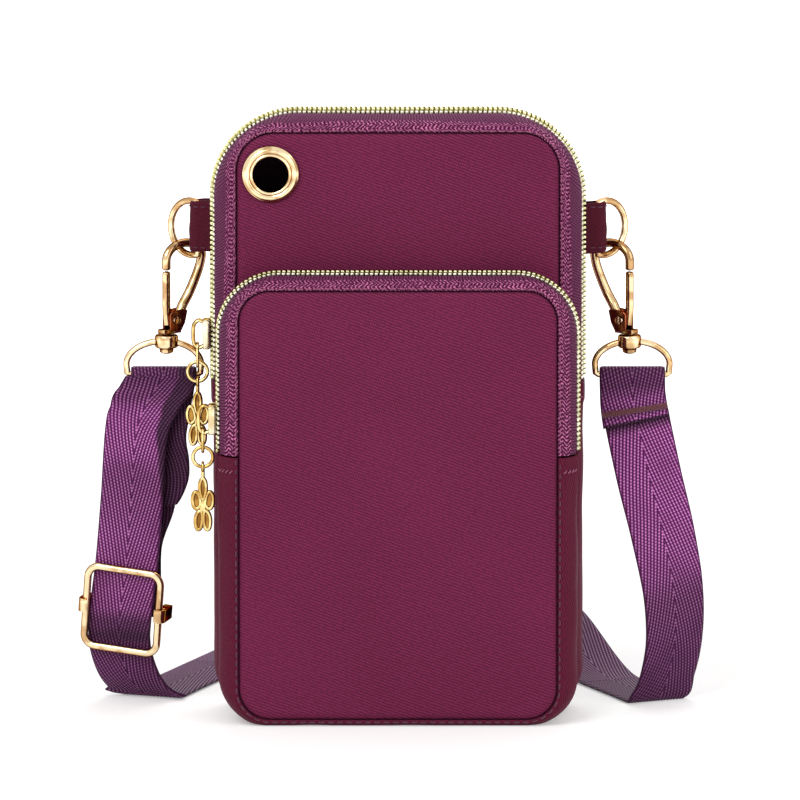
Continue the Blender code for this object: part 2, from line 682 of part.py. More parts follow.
def build_zip_pull(looks, label, crest_half, crest_y, z, carrier):
    """A slider with its link, jump ring and charm, each hanging in the one above."""
    slider = pivot(f"{label}_slider_slide", (-crest_half, crest_y, z), carrier)
    slider_body(f"{label}_slider", crest_half, crest_y, z, looks["gold"], slider)
    x = -(crest_half + CHAIN_OUT)
    hang_z = z - BRIDGE_HALF
    link_axis = pivot(f"{label}_link_axis", (x, crest_y, hang_z), slider)
    link_top = hang_z + BRIDGE_WIRE + LINK_WIRE + GAP
    link_bottom = link_top - LINK_HEIGHT
    link_frame = local_frame(Vector((x, crest_y, (link_top + link_bottom) / 2)), Vector((0, 1, 0)))
    link_path = slot_loop(link_frame, LINK_HALF_WIDTH, LINK_HEIGHT / 2)
    add_piece(f"{label}_link", wire(link_path, Vector((1, 0, 0)), LINK_WIRE), looks["gold"], link_axis)

    ring_axis = pivot(f"{label}_ring_axis", (x, crest_y, link_bottom), link_axis)
    ring_top = link_bottom + LINK_WIRE + JUMP_WIRE + GAP
    ring_frame = local_frame(Vector((x, crest_y, ring_top - JUMP_RADIUS)), Vector((1, 0, 0)))
    ring_path = ellipse_loop(ring_frame, JUMP_RADIUS, JUMP_RADIUS, 16)
    ring = wire(ring_path, Vector((0, 1, 0)), JUMP_WIRE)
    add_piece(f"{label}_jump_ring", ring, looks["gold"], ring_axis)

    ring_bottom = ring_top - 2 * JUMP_RADIUS
    charm_axis = pivot(f"{label}_charm_axis", (x, crest_y, ring_bottom), ring_axis)
    eye_top = ring_bottom + JUMP_WIRE + CHARM_EYE_WIRE + GAP
    eye_frame = local_frame(Vector((x, crest_y, eye_top - CHARM_EYE_RADIUS)), Vector((0, 1, 0)))
    middle = eye_top - 2 * CHARM_EYE_RADIUS - CHARM_STEM - CHARM_HALF_HEIGHT
    frame = local_frame(Vector((x, crest_y, middle)), Vector((1, 0, 0)))
    body = prism(charm_outline(), frame, -CHARM_THICKNESS / 2, CHARM_THICKNESS / 2)
    charm = add_piece(f"{label}_charm", body, looks["gold"], charm_axis)
    combine(charm, wire(ellipse_loop(eye_frame, CHARM_EYE_RADIUS, CHARM_EYE_RADIUS, 12),
                        Vector((1, 0, 0)), CHARM_EYE_WIRE), "UNION", charm_axis)
    stem_base = frame @ Vector((0, 0, CHARM_HALF_HEIGHT - CHARM_STEM))
    combine(charm, pin(stem_base, UP, 2 * CHARM_EYE_WIRE, 2 * CHARM_STEM, 8), "UNION", charm_axis)
    hole_start = frame @ Vector((0, -CHARM_THICKNESS, 0))
    hole = pin(hole_start, Vector((0, 1, 0)), CHARM_HOLE, 2 * CHARM_THICKNESS, 12)
    combine(charm, hole, "DIFFERENCE", charm_axis)


def tape_skin(y):
    """Where the tab's middle line runs off the main back tape at depth y, as (distance out, y)."""
    lean = y / BODY_HALF_DEPTH
    lift = math.sqrt(1 - lean ** 2)
    across = CREST_HALF - SEAM_HALF
    normal = Vector((lift / across, lean / BODY_HALF_DEPTH)).normalized()
    stand = TAB_STAND + FABRIC / 2
    return SEAM_HALF + across * lift + normal.x * stand, y + normal.y * stand


def build_tab(looks, side):
    """A folded fabric tab that holds the D-ring's straight bar; side is -1 left and 1 right."""
    name = "left" if side < 0 else "right"
    bar_x = CREST_HALF + TAB_REACH
    turn = D_WIRE + GAP + FABRIC / 2
    path = [tape_skin(y) for y in spread(TAB_REAR_Y, TAB_Y + turn, 4)]
    for k in range(WRAP_STEPS + 1):
        angle = math.pi * (0.5 - k / WRAP_STEPS)
        path.append((bar_x + turn * math.cos(angle), TAB_Y + turn * math.sin(angle)))
    front_y_end = TOOTH_ROW + 2 * GAP + FABRIC / 2
    path.append((CREST_HALF + FABRIC, front_y_end + (TAB_Y - turn - front_y_end) / 2))
    path.append((CREST_HALF + GAP, front_y_end))
    stations = []
    last = len(path) - 1
    for i, (x, y) in enumerate(path):
        ax, ay = path[max(i - 1, 0)]
        bx, by = path[min(i + 1, last)]
        normal = Vector((side * (by - ay), ax - bx, 0)).normalized()
        stations.append((Vector((side * x, y, TAB_Z)), UP * TAB_HALF, normal))
    add_piece(f"tab_{name}", ribbon(stations, FABRIC), looks["nylon"])


def build_d_ring(looks, side):
    name = "left" if side < 0 else "right"
    origin = Vector((side * (CREST_HALF + TAB_REACH), TAB_Y, TAB_Z))
    outward = Vector((side * math.cos(D_ANGLE), math.sin(D_ANGLE), 0))
    frame = local_frame(origin, outward)
    points = [(0, -D_HALF), (0, 0), (0, D_HALF)]
    steps = 10
    for k in range(steps + 1):
        angle = math.pi * (0.5 - k / steps)
        points.append((D_LEG + D_BOW * math.cos(angle), D_HALF * math.sin(angle)))
    path = [frame @ Vector((u, 0, w)) for u, w in points]
    axis = pivot(f"d_ring_{name}_axis", origin)
    add_piece(f"d_ring_{name}", wire(path, outward.cross(UP), D_WIRE, 8), looks["gold"], axis)


def spine_heading(side):
    """The level direction from a hook's gate to its spine."""
    return Vector((-side * math.cos(HOOK_ANGLE), math.sin(HOOK_ANGLE), 0))


def swivel_place(side):
    """Where the swivel's axis is, from the place on the D-ring that the hook grips."""
    outward = Vector((side * math.cos(D_ANGLE), math.sin(D_ANGLE), 0))
    grip = Vector((side * (CREST_HALF + TAB_REACH), TAB_Y, 0)) + outward * HOOK_GRIP
    return grip - spine_heading(side) * (HOOK_SPAN / 2)


def hook_base_z():
    """The height of the hook's base, which lets the D-ring's wire lie just under its crook."""
    slope_share = (HOOK_GRIP - D_LEG) / D_BOW
    grip_z = TAB_Z - D_HALF * math.sqrt(1 - slope_share ** 2)
    return grip_z + D_WIRE + HOOK_CLEARANCE + HOOK_WIRE - HOOK_HEIGHT


def hook_path():
    """The hook's centreline from the cheeks up the spine, over the crook and down to the nose."""
    path = [(HOOK_SPAN * u, HOOK_HEIGHT * w) for u, w in SPINE_SHARES]
    radius = HOOK_SPAN / 2
    steps = 6
    for k in range(1, steps + 1):
        angle = math.pi * k / steps
        height = HOOK_HEIGHT - radius * CROOK_SHARE * (1 - math.sin(angle))
        path.append((radius + radius * math.cos(angle), height))
    path.append((0, NOSE_LOW))
    return path


def build_hook(looks, side, ring_axis):
    """The snap hook with its swivel post, gate, rivet and spring."""
    name = "left" if side < 0 else "right"
    place = swivel_place(side)
    base = Vector((place.x, place.y, hook_base_z()))
    frame = local_frame(base, spine_heading(side))
    across = frame.to_3x3() @ Vector((0, 1, 0))
    swivel = pivot(f"hook_{name}_swivel", base, ring_axis)
    gold = looks["gold"]

    def put(points):
        return [frame @ Vector((u, 0, w)) for u, w in points]

    path = hook_path()
    body = add_piece(f"hook_{name}", wire(put(path), across, HOOK_WIRE, 8, closed=False), gold, swivel)
    toe, heel = RIVET_U - GATE_EYE - GAP, RIVET_U + GATE_EYE
    cheek_low = BASE_HEIGHT / 2
    bend_u, bend_w = path[1]
    cheek = [
        (toe, cheek_low), (heel, cheek_low), (bend_u + HOOK_WIRE, bend_w),
        (bend_u - HOOK_WIRE, bend_w + GAP), (toe + GATE_EYE, RIVET_W + GATE_EYE + GAP),
        (toe, RIVET_W + GATE_EYE),
    ]
    for low, high in ((-CHEEK_OUTER, -CHEEK_INNER), (CHEEK_INNER, CHEEK_OUTER)):
        combine(body, prism(cheek, frame, low, high), "UNION", swivel)
    foot = [(-POST_HEAD, 0), (heel + GAP, 0), (heel + GAP, BASE_HEIGHT), (-POST_HEAD, BASE_HEIGHT)]
    foot_half = (CHEEK_INNER + CHEEK_OUTER) / 2
    combine(body, prism(foot, frame, -foot_half, foot_half), "UNION", swivel)
    drop = 2 * COLLAR_HALF + 2 * GAP
    end = drop + POST_HEAD_HEIGHT
    profile = [(0, BASE_HEIGHT / 2), (POST_RADIUS, BASE_HEIGHT / 2), (POST_RADIUS, -drop),
               (POST_HEAD, -drop), (POST_HEAD, -end), (0, -end)]
    combine(body, turned(profile, base, UP, 16), "UNION", swivel)
    hole_base = frame @ Vector((RIVET_U, -2 * CHEEK_OUTER, RIVET_W))
    hole = pin(hole_base, across, RIVET_RADIUS + GAP, 4 * CHEEK_OUTER, 12)
    combine(body, hole, "DIFFERENCE", swivel)

    rivet_centre = frame @ Vector((RIVET_U, 0, RIVET_W))
    seat = CHEEK_OUTER + GAP
    top = seat + RIVET_HEAD_HEIGHT
    profile = [(0, -top), (RIVET_HEAD, -top), (RIVET_HEAD, -seat), (RIVET_RADIUS, -seat),
               (RIVET_RADIUS, seat), (RIVET_HEAD, seat), (RIVET_HEAD, top), (0, top)]
    add_piece(f"gate_rivet_{name}", turned(profile, rivet_centre, across, 12), gold, swivel)

    gate_axis = pivot(f"gate_{name}_axis", rivet_centre, swivel)
    gate_path = [(GATE_ROOT, RIVET_W + GATE_ROOT_RISE), (0, RIVET_W + GATE_BEND_RISE), (0, NOSE_LOW - GAP)]
    gate_bar = wire(put(gate_path), across, GATE_WIRE, 8, closed=False, flat=GATE_FLAT)
    gate = add_piece(f"gate_{name}", gate_bar, gold, gate_axis)
    eye = pin(frame @ Vector((RIVET_U, -GATE_EYE_HALF, RIVET_W)), across, GATE_EYE, 2 * GATE_EYE_HALF, 16)
    combine(gate, eye, "UNION", gate_axis)
    combine(gate, hole, "DIFFERENCE", gate_axis)

    coil = []
    turn_steps = 9
    room = SPRING_CLEARANCE + SPRING_WIRE
    low, high = GATE_EYE_HALF + room, CHEEK_INNER - room
    coil_radius = RIVET_RADIUS + GAP + SPRING_WIRE
    for k in range(SPRING_TURNS * turn_steps + 1):
        angle = math.tau * k / turn_steps
        rise = low + (high - low) * k / (SPRING_TURNS * turn_steps)
        coil.append((coil_radius * math.cos(angle), rise, coil_radius * math.sin(angle)))
    points = [frame @ Vector((RIVET_U + u, v, RIVET_W + w)) for u, v, w in coil]
    spring = wire(points, across, SPRING_WIRE, 5, closed=False)
    add_piece(f"gate_spring_{name}", spring, looks["steel"], swivel)


def ring_bar_z():
    """The height of the strap ring's straight bar."""
    return hook_base_z() - GAP - COLLAR_HALF - RING_HEIGHT


def ring_centre(side):
    """The middle of the strap ring's bar, which lies a little outside the swivel's axis."""
    place = swivel_place(side)
    return Vector((place.x + side * RING_OFFSET, place.y, ring_bar_z()))


def build_strap_ring(looks, side):
    """The wire ring that the webbing holds, with the collar in which the hook swivels."""
    name = "left" if side < 0 else "right"
    centre = ring_centre(side)
    frame = local_frame(centre, Vector((1, 0, 0)))
    axis = pivot(f"strap_ring_{name}_axis", centre)
    points = [(-RING_HALF + RING_WIRE, 0), (0, 0), (RING_HALF - RING_WIRE, 0)]
    bow = RING_HEIGHT - RING_SHOULDER
    steps = 12
    for k in range(steps + 1):
        angle = math.pi * k / steps
        points.append((RING_HALF * math.cos(angle), RING_SHOULDER + bow * math.sin(angle)))
    path = [frame @ Vector((u, 0, w)) for u, w in points]
    loop = wire(path, Vector((0, 1, 0)), RING_WIRE, 8)
    ring = add_piece(f"strap_ring_{name}", loop, looks["gold"], axis)
    low = centre + UP * (RING_HEIGHT - COLLAR_HALF) - Vector((side * RING_OFFSET, 0, 0))
    combine(ring, pin(low, UP, COLLAR_RADIUS, 2 * COLLAR_HALF, 16), "UNION", axis)
    combine(ring, pin(low - UP * COLLAR_HALF, UP, COLLAR_BORE, 4 * COLLAR_HALF, 16), "DIFFERENCE", axis)
    return axis


def heading(degrees):
    return Vector((math.cos(math.radians(degrees)), math.sin(math.radians(degrees)), 0))


def route(points, widths, steps=ROUTE_STEPS):
    """Stations along a smooth curve; widths turns the width direction about Z, in degrees."""
    stations = []
    centres, turns = [], []
    last = len(points) - 1
    for i in range(last):
        before, start = points[max(i - 1, 0)], points[i]
        end, after = points[i + 1], points[min(i + 2, last)]
        for k in range(steps + (i == last - 1)):
            t = k / steps
            bend = (end - before) * t + (before * 2 - start * 5 + end * 4 - after) * t ** 2
            bend += (start * 3 - before - end * 3 + after) * t ** 3
            centre = start + bend / 2
            centre.z = max(centre.z, WEB / 2)
            centres.append(centre)
            turns.append(widths[i] + (widths[i + 1] - widths[i]) * t)
    for i, centre in enumerate(centres):
        travel = (centres[min(i + 1, len(centres) - 1)] - centres[max(i - 1, 0)]).normalized()
        stations.append(strip_station(centre, travel, heading(turns[i])))
    return stations


def strip_station(centre, travel, across):
    """A station whose ends lie on the strip's edges although its width line is slanted."""
    normal = across.cross(travel)
    half = across * (WEB_HALF / normal.length)
    return centre, half, normal.normalized()


def ring_wrap(side, front_first):
    """Stations round the strap ring's bar, from one face of the loop to the other."""
    centre = ring_centre(side)
    turn = RING_WIRE + GAP + WEB / 2
    start = -1 if front_first else 1
    stations = []
    for k in range(WRAP_STEPS + 1):
        angle = math.pi * k / WRAP_STEPS
        radial = Vector((0, start * math.cos(angle), math.sin(angle)))
        travel = Vector((0, -start * math.sin(angle), math.cos(angle)))
        stations.append(strip_station(centre + radial * turn, travel, Vector((1, 0, 0))))
    return stations, centre


def hang(side, shares):
    """A place on a strand, from shares of the sway, the set-back and the ring's height."""
    ring = ring_centre(side)
    return Vector((ring.x + side * SWAY * shares[0], ring.y + SET_BACK * shares[1], ring.z * shares[2]))


def left_run():
    """The straight stretch of the left front strand that the buckle slides on, top and bottom."""
    top, low = LEFT_RUN_SHARES
    return hang(-1, top), hang(-1, low)


def leg_length(floor_point, degrees):
    """How far a leg runs along the floor before it reaches the hank's line."""
    return (HANK_Y - floor_point.y) / math.sin(math.radians(degrees))


def floor_leg(floor_point, degrees, length, shares):
    """The points and widths of a straight leg along the floor, from where the strand comes down."""
    start = floor_point + FLOOR_LIFT
    points = [start] + [start + heading(degrees) * (length * share) for share in shares]
    return points, [degrees - 90.0] * len(points)


def end_loop_depth():
    """How far behind the front strand the sewn loop's rear strand lies."""
    return bar_depth() + BAR_RADIUS + GAP + WEB / 2


def bar_depth():
    """How far behind the front strand the buckle's bar lies: past the loop's inner strand."""
    return WEB / 2 + GAP + WEB + GAP + BAR_RADIUS


def build_left_strap(looks):
    """The ring loop, the front strand through the buckle and the leg behind the bag."""
    wrap, centre = ring_wrap(-1, front_first=False)
    top, low = left_run()
    turn = LEFT_RUN_SHARES[0][3]
    behind = buckle_frame().to_3x3() @ Vector((TAIL_SHIFT, end_loop_depth() - WEB - GAP, 0))
    along = (low - top).normalized()
    tail_top = top + behind
    tail_low = tail_top + along * (LEFT_TAIL - (centre.z - top.z))
    tail = route([tail_low, tail_top.lerp(tail_low, 0.5), tail_top, wrap[0][0]], [turn, turn, turn, 0])
    points = [wrap[-1][0]] + [hang(-1, place) for place in LEFT_NECK_SHARES] + [top]
    points += [top.lerp(low, share) for share in RUN_SHARES]
    points += [hang(-1, place) for place in LEFT_FOOT_SHARES]
    widths = [0] + [place[3] for place in LEFT_NECK_SHARES] + [turn] * (1 + len(RUN_SHARES))
    widths += [place[3] for place in LEFT_FOOT_SHARES]
    floor = hang(-1, LEFT_FLOOR_SHARES)
    cut = leg_length(floor, LEFT_HEADING) - LEFT_CUT
    leg, leg_widths = floor_leg(floor, LEFT_HEADING, cut, LEFT_LEG_SHARES)
    strand = route(points + leg, widths + leg_widths)
    add_piece("strap_left", ribbon(tail[:-1] + wrap + strand[1:], WEB), looks["webbing"])


class Strip:
    """Folds a flat strip layer by layer: it knows where it is, where it heads and which face is up."""

    def __init__(self, place, travel):
        self.place, self.travel, self.face = place, travel, 1.0
        self.stations = []

    def mark(self):
        left = (UP * self.face).cross(self.travel)
        self.stations.append((self.place.copy(), left * WEB_HALF, UP * self.face))

    def run(self, length, drop=0.0):
        self.place = self.place + self.travel * length - UP * drop

    def fold(self, crease_degrees):
        """Turn the strip over on itself, upwards, round a crease at that angle about Z."""
        crease = heading(crease_degrees)
        if crease.dot((UP * self.face).cross(self.travel)) < 0:
            crease = -crease
        out = crease.cross(UP)
        if out.dot(self.travel) < 0:
            out = -out
        slide = self.travel.dot(crease) / self.travel.dot(out)
        half = crease * (WEB_HALF / abs(self.travel.dot(out)))
        radius = LAYER_PITCH / 2
        start = self.place
        for k in range(WRAP_STEPS + 1):
            angle = math.pi * k / WRAP_STEPS
            swing = out * math.sin(angle) + UP * (1 - math.cos(angle))
            self.place = start + crease * (slide * radius * angle) + swing * radius
            normal = (UP * math.cos(angle) - out * math.sin(angle)) * self.face
            self.stations.append((self.place.copy(), half, normal))
        self.travel = crease * (2 * self.travel.dot(crease)) - self.travel
        self.face = -self.face


def fold_shift(travel_degrees, crease_degrees):
    """How far a fold moves the strip's centreline."""
    turn = math.radians(travel_degrees - crease_degrees)
    return heading(crease_degrees) * (math.pi * LAYER_PITCH / 2 / abs(math.tan(turn)))


def fold_corner(crease_degrees):
    """How far along the strip a slanted fold reaches from its middle, with a little to spare."""
    return WEB_HALF / abs(math.tan(math.radians(crease_degrees))) + GAP


def build_hank(looks):
    """The strap's spare length, folded to and fro in flat layers behind the bag."""
    ahead = heading(LEFT_HEADING)
    left_floor, right_floor = hang(-1, LEFT_FLOOR_SHARES), hang(1, RIGHT_FLOOR_SHARES)
    reach = leg_length(left_floor, LEFT_HEADING)
    strip = Strip(left_floor + FLOOR_LIFT + ahead * (reach - LEFT_CUT + GAP), ahead)
    strip.mark()
    crease = LEFT_HEADING / 2
    corner = fold_corner(crease)
    strip.run(LEFT_CUT - GAP - corner)
    strip.mark()
    strip.run(corner)
    strip.fold(crease)
    strip.run(corner)
    strip.mark()
    for layer in range(1, LAYERS):
        goal = HANK_HALF if layer % 2 else -HANK_HALF
        strip.run(abs(goal - strip.place.x))
        strip.fold(90.0)
    exit_heading = RIGHT_HEADING + 180.0
    crease = exit_heading / 2
    shift = fold_shift(0.0, crease - 180.0)
    height = strip.place.y + shift.y
    reach = (height - right_floor.y) / math.sin(math.radians(RIGHT_HEADING))
    goal = right_floor.x + heading(RIGHT_HEADING).x * reach - shift.x
    corner = fold_corner(crease)
    strip.run(goal - strip.place.x - corner)
    strip.mark()
    strip.run(corner)
    strip.fold(crease)
    strip.run(corner)
    strip.mark()
    drop = strip.place.z - WEB / 2
    fall = reach - corner - RIGHT_CUT
    steps = 6
    start = strip.place.copy()
    for k in range(1, steps + 1):
        share = k / steps
        ease = share * share * (3 - 2 * share)
        strip.place = start + strip.travel * (fall * share) - UP * (drop * ease)
        strip.mark()
    add_piece("strap_hank", ribbon(strip.stations, WEB), looks["webbing"])


def build_right_strap(looks):
    """The sewn end round the right strap ring, the strand down to the floor and the leg behind the bag."""
    wrap, centre = ring_wrap(1, front_first=True)
    tail = route([hang(1, place) for place in RIGHT_TAIL_SHARES] + [wrap[0][0]], [0, 0, 0])
    places = RIGHT_NECK_SHARES + RIGHT_BOW_SHARES + RIGHT_FOOT_SHARES
    points = [wrap[-1][0]] + [hang(1, place) for place in places]
    widths = [0] + [place[3] for place in places]
    floor = hang(1, RIGHT_FLOOR_SHARES)
    leg, leg_widths = floor_leg(floor, RIGHT_HEADING, RIGHT_CUT - GAP, RIGHT_LEG_SHARES)
    strand = route(points + leg, widths + leg_widths)
    add_piece("strap_right", ribbon(tail[:-1] + wrap + strand[1:], WEB), looks["webbing"])


def buckle_frame():
    """The buckle's frame of axes: u across the webbing, w up along it, v square to it."""
    top, low = left_run()
    along = (top - low).normalized()
    share = (BUCKLE_Z - low.z) / (top.z - low.z)
    centre = low.lerp(top, share)
    across = heading(LEFT_RUN_SHARES[0][3])
    across = (across - along * across.dot(along)).normalized()
    return local_frame(centre, across, along)


def build_buckle(looks):
    """The slider buckle: a wire frame before the strand and a bar behind it that holds the sewn loop."""
    frame = buckle_frame()
    across = frame.to_3x3() @ Vector((0, 1, 0))
    front = -(WEB / 2 + GAP + BUCKLE_WIRE)
    slide = pivot("slider_frame_slide", frame.translation)
    points = []
    straight_u, straight_w = BUCKLE_HALF_WIDTH - BUCKLE_CORNER, BUCKLE_HALF_HEIGHT - BUCKLE_CORNER
    steps = 3
    for corner, (su, sw) in enumerate(((1, 1), (-1, 1), (-1, -1), (1, -1))):
        for k in range(steps + 1):
            angle = math.pi / 2 * (corner + k / steps)
            round_u, round_w = BUCKLE_CORNER * math.cos(angle), BUCKLE_CORNER * math.sin(angle)
            points.append((su * straight_u + round_u, sw * straight_w + round_w))
    path = [frame @ Vector((u, front, w)) for u, w in points]
    add_piece("slider_frame", wire(path, across, BUCKLE_WIRE, 8), looks["gold"], slide)

    bar_v = bar_depth()
    bar_slide = pivot("slider_bar_slide", frame @ Vector((0, bar_v, 0)), slide)
    u_axis = frame.to_3x3() @ Vector((1, 0, 0))
    start = frame @ Vector((-BUCKLE_HALF_WIDTH, bar_v, 0))
    rod = pin(start, u_axis, BAR_RADIUS, 2 * BUCKLE_HALF_WIDTH, 12)
    bar = add_piece("slider_bar", rod, looks["gold"], bar_slide)
    inner = BUCKLE_WIRE + GAP
    outer = inner + CAP_WALL
    for side in (-1, 1):
        outline = cap_outline(side, front, bar_v, inner, outer)
        combine(bar, prism(outline, cap_frame(frame), -CAP_HALF, CAP_HALF), "UNION", bar_slide)

    build_end_loop(looks, frame, bar_v, bar_slide)


def cap_frame(frame):
    """The buckle's axes reordered, so that an outline of (u, v) is extruded along w."""
    turned_frame = frame.copy()
    for row in range(3):
        turned_frame[row][1], turned_frame[row][2] = frame[row][2], frame[row][1]
    return turned_frame


def cap_outline(side, front, bar_v, inner, outer):
    """A cap in section: it reaches forward from the bar and hooks round the frame's side wire."""
    steps = 6
    centre = side * BUCKLE_HALF_WIDTH
    points = [(centre - side * CAP_LIP, bar_v + BAR_RADIUS)]
    points.append((centre + side * outer, bar_v + BAR_RADIUS))
    for k in range(steps + 1):
        angle = CAP_TURN * k / steps
        points.append((centre + side * outer * math.cos(angle), front - outer * math.sin(angle)))
    for k in reversed(range(steps + 1)):
        angle = CAP_TURN * k / steps
        points.append((centre + side * inner * math.cos(angle), front - inner * math.sin(angle)))
    points.append((centre + side * inner, front + inner))
    points.append((centre - side * CAP_LIP, front + inner))
    return points


def build_end_loop(looks, frame, bar_v, carrier):
    """The strap's end sewn round the buckle's bar and running up behind the front strand."""
    turn = BAR_RADIUS + GAP + WEB / 2
    across = frame.to_3x3()
    half = across @ Vector((WEB_HALF, 0, 0))
    stations = []
    path = [(bar_v - turn, END_LOOP_FRONT)]
    for k in range(WRAP_STEPS + 1):
        angle = math.pi * k / WRAP_STEPS
        path.append((bar_v - turn * math.cos(angle), -turn * math.sin(angle)))
    path.append((bar_v + turn, END_LOOP))
    last = len(path) - 1
    for i, (v, w) in enumerate(path):
        av, aw = path[max(i - 1, 0)]
        bv, bw = path[min(i + 1, last)]
        normal = across @ Vector((0, bw - aw, av - bv)).normalized()
        stations.append((frame @ Vector((0, v, w)), half, normal))
    add_piece("strap_end_loop", ribbon(stations, WEB), looks["webbing"], carrier)


def build():
    clear_scene()
    looks = {
        "nylon": make_material("nylon", (0.18, 0.021, 0.084), 0.75),
        "gusset": make_material("gusset", (0.114, 0.014, 0.051), 0.8),
        "tape": make_material("tape", (0.205, 0.045, 0.156), 0.7),
        "lining": make_material("lining", (0.09, 0.02, 0.05), 0.8),
        "foam": make_material("foam", (0.5, 0.48, 0.45), 0.9),
        "teeth": make_material("teeth", (0.78, 0.66, 0.38), 0.3, 1.0),
        "gold": make_material("gold", (0.83, 0.61, 0.42), 0.2, 1.0),
        "steel": make_material("steel", (0.55, 0.55, 0.56), 0.3, 1.0),
        "webbing": make_material("webbing", (0.195, 0.042, 0.262), 0.7),
    }
    hinge_y = pocket_y(0.0, FOLD_Z) - FOLD_CLEARANCE
    flap = pivot("front_flap_hinge", (0.0, hinge_y, FOLD_Z))
    pocket_flap = pivot("pocket_flap_hinge", (0.0, hinge_y, FOLD_Z), flap)
    build_body(looks, flap)
    build_pocket(looks, flap, pocket_flap)
    build_eyelet(looks, flap)
    build_zip_pull(looks, "main", CREST_HALF, 0.0, MAIN_SLIDER_Z, None)
    pocket_crest_y = -BODY_HALF_DEPTH - (POCKET_DEPTH + GAP) / 2
    build_zip_pull(looks, "pocket", POCKET_CREST_HALF, pocket_crest_y, POCKET_SLIDER_Z, flap)
    for side in (-1, 1):
        build_tab(looks, side)
        build_d_ring(looks, side)
        ring_axis = build_strap_ring(looks, side)
        build_hook(looks, side, ring_axis)
    build_left_strap(looks)
    build_hank(looks)
    build_right_strap(looks)
    build_buckle(looks)


build()
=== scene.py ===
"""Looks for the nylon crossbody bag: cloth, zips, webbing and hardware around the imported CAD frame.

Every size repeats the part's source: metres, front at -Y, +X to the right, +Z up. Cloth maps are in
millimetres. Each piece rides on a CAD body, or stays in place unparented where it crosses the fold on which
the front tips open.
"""

import math

import bmesh
import bpy
import numpy as np
from mathutils import Matrix, Vector, noise


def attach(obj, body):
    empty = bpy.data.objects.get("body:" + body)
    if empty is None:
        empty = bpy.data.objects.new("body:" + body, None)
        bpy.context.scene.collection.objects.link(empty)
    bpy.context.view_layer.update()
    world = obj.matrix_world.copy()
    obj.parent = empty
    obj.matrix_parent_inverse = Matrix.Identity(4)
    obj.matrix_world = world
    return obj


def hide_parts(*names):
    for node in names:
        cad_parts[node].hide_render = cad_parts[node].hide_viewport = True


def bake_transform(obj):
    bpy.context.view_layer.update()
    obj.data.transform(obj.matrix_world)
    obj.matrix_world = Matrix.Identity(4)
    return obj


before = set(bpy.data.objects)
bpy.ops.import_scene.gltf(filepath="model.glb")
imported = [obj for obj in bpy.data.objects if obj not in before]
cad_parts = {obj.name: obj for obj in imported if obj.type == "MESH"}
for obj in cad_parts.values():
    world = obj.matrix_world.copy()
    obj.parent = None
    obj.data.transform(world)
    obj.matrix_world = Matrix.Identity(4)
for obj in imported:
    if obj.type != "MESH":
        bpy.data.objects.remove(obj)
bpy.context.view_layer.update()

MM = 0.001
UP = Vector((0, 0, 1))
ACROSS = Vector((1, 0, 0))
INWARD = Vector((0, 1, 0))

# ---------------------------------------------------------------- sizes, as in the part's source
GAP = 0.3 * MM
FABRIC = 1.2 * MM
TAPE = 1.0 * MM
LINING = 0.6 * MM
FOAM = 2.0 * MM
BODY_HALF_DEPTH = 11.0 * MM
CREST_HALF = 54.0 * MM
CREST_TOP = 177.6 * MM
CREST_TOP_RADIUS = 25.0 * MM
CREST_LOW_RADIUS = 15.0 * MM
CREST_LOW = -1.0 * MM
SEAM_HALF = 47.0 * MM
SEAM_TOP = 172.0 * MM
SEAM_TOP_RADIUS = 11.0 * MM
SEAM_LOW = 2.0 * MM
SEAM_LOW_RADIUS = 9.0 * MM
MAIN_ZIP_END = 97.5 * MM
FRONT_CROWN = 1.5 * MM
BACK_CROWN = 2.0 * MM
FOAM_INSET = 2.0 * MM
FOLD_Z = 78.0 * MM
POCKET_DEPTH = 18.0 * MM
POCKET_CREST_HALF = 52.3 * MM
POCKET_CREST_TOP = 132.4 * MM
POCKET_CREST_TOP_RADIUS = 18.0 * MM
POCKET_SEAM_HALF = 46.3 * MM
POCKET_SEAM_TOP = 128.4 * MM
POCKET_SEAM_TOP_RADIUS = 9.0 * MM
POCKET_ZIP_END = 79.6 * MM
POCKET_CROWN = 2.5 * MM
POCKET_CREST_Y = -BODY_HALF_DEPTH - (POCKET_DEPTH + GAP) / 2

TOOTH_ROW = 1.6 * MM
TOOTH_OUT = 0.5 * MM
TAPE_CLEARANCE = 0.45 * MM
SLIDER_LENGTH = 9.0 * MM
SLIDER_HALF_WIDTH = 2.6 * MM
SLIDER_PLATE = 1.0 * MM
SLIDER_TAPER = 0.9 * MM
BRIDGE_HALF = 4.0 * MM
BRIDGE_REACH = 1.2 * MM
BRIDGE_WIRE = 0.5 * MM
MAIN_SLIDER_Z = 111.0 * MM
POCKET_SLIDER_Z = 89.3 * MM
CHAIN_OUT = 4.4 * MM
LINK_WIRE = 0.45 * MM
LINK_HALF_WIDTH = 1.6 * MM
LINK_HEIGHT = 6.8 * MM
JUMP_WIRE = 0.55 * MM
JUMP_RADIUS = 2.9 * MM
CHARM_EYE_RADIUS = 1.2 * MM
CHARM_EYE_WIRE = 0.4 * MM
CHARM_THICKNESS = 1.4 * MM
CHARM_HALF_WIDTH = 3.6 * MM
CHARM_HALF_HEIGHT = 8.8 * MM
CHARM_STEM = 1.6 * MM
CHARM_PETALS = 5

EYELET_X = -37.0 * MM
EYELET_Z = 160.0 * MM
EYELET_RADIUS = 8.3 * MM
EYELET_BORE = 5.2 * MM
EYELET_WALL = 0.5 * MM
EYELET_RIM = 0.9 * MM
EYELET_EDGE = 0.36 * MM

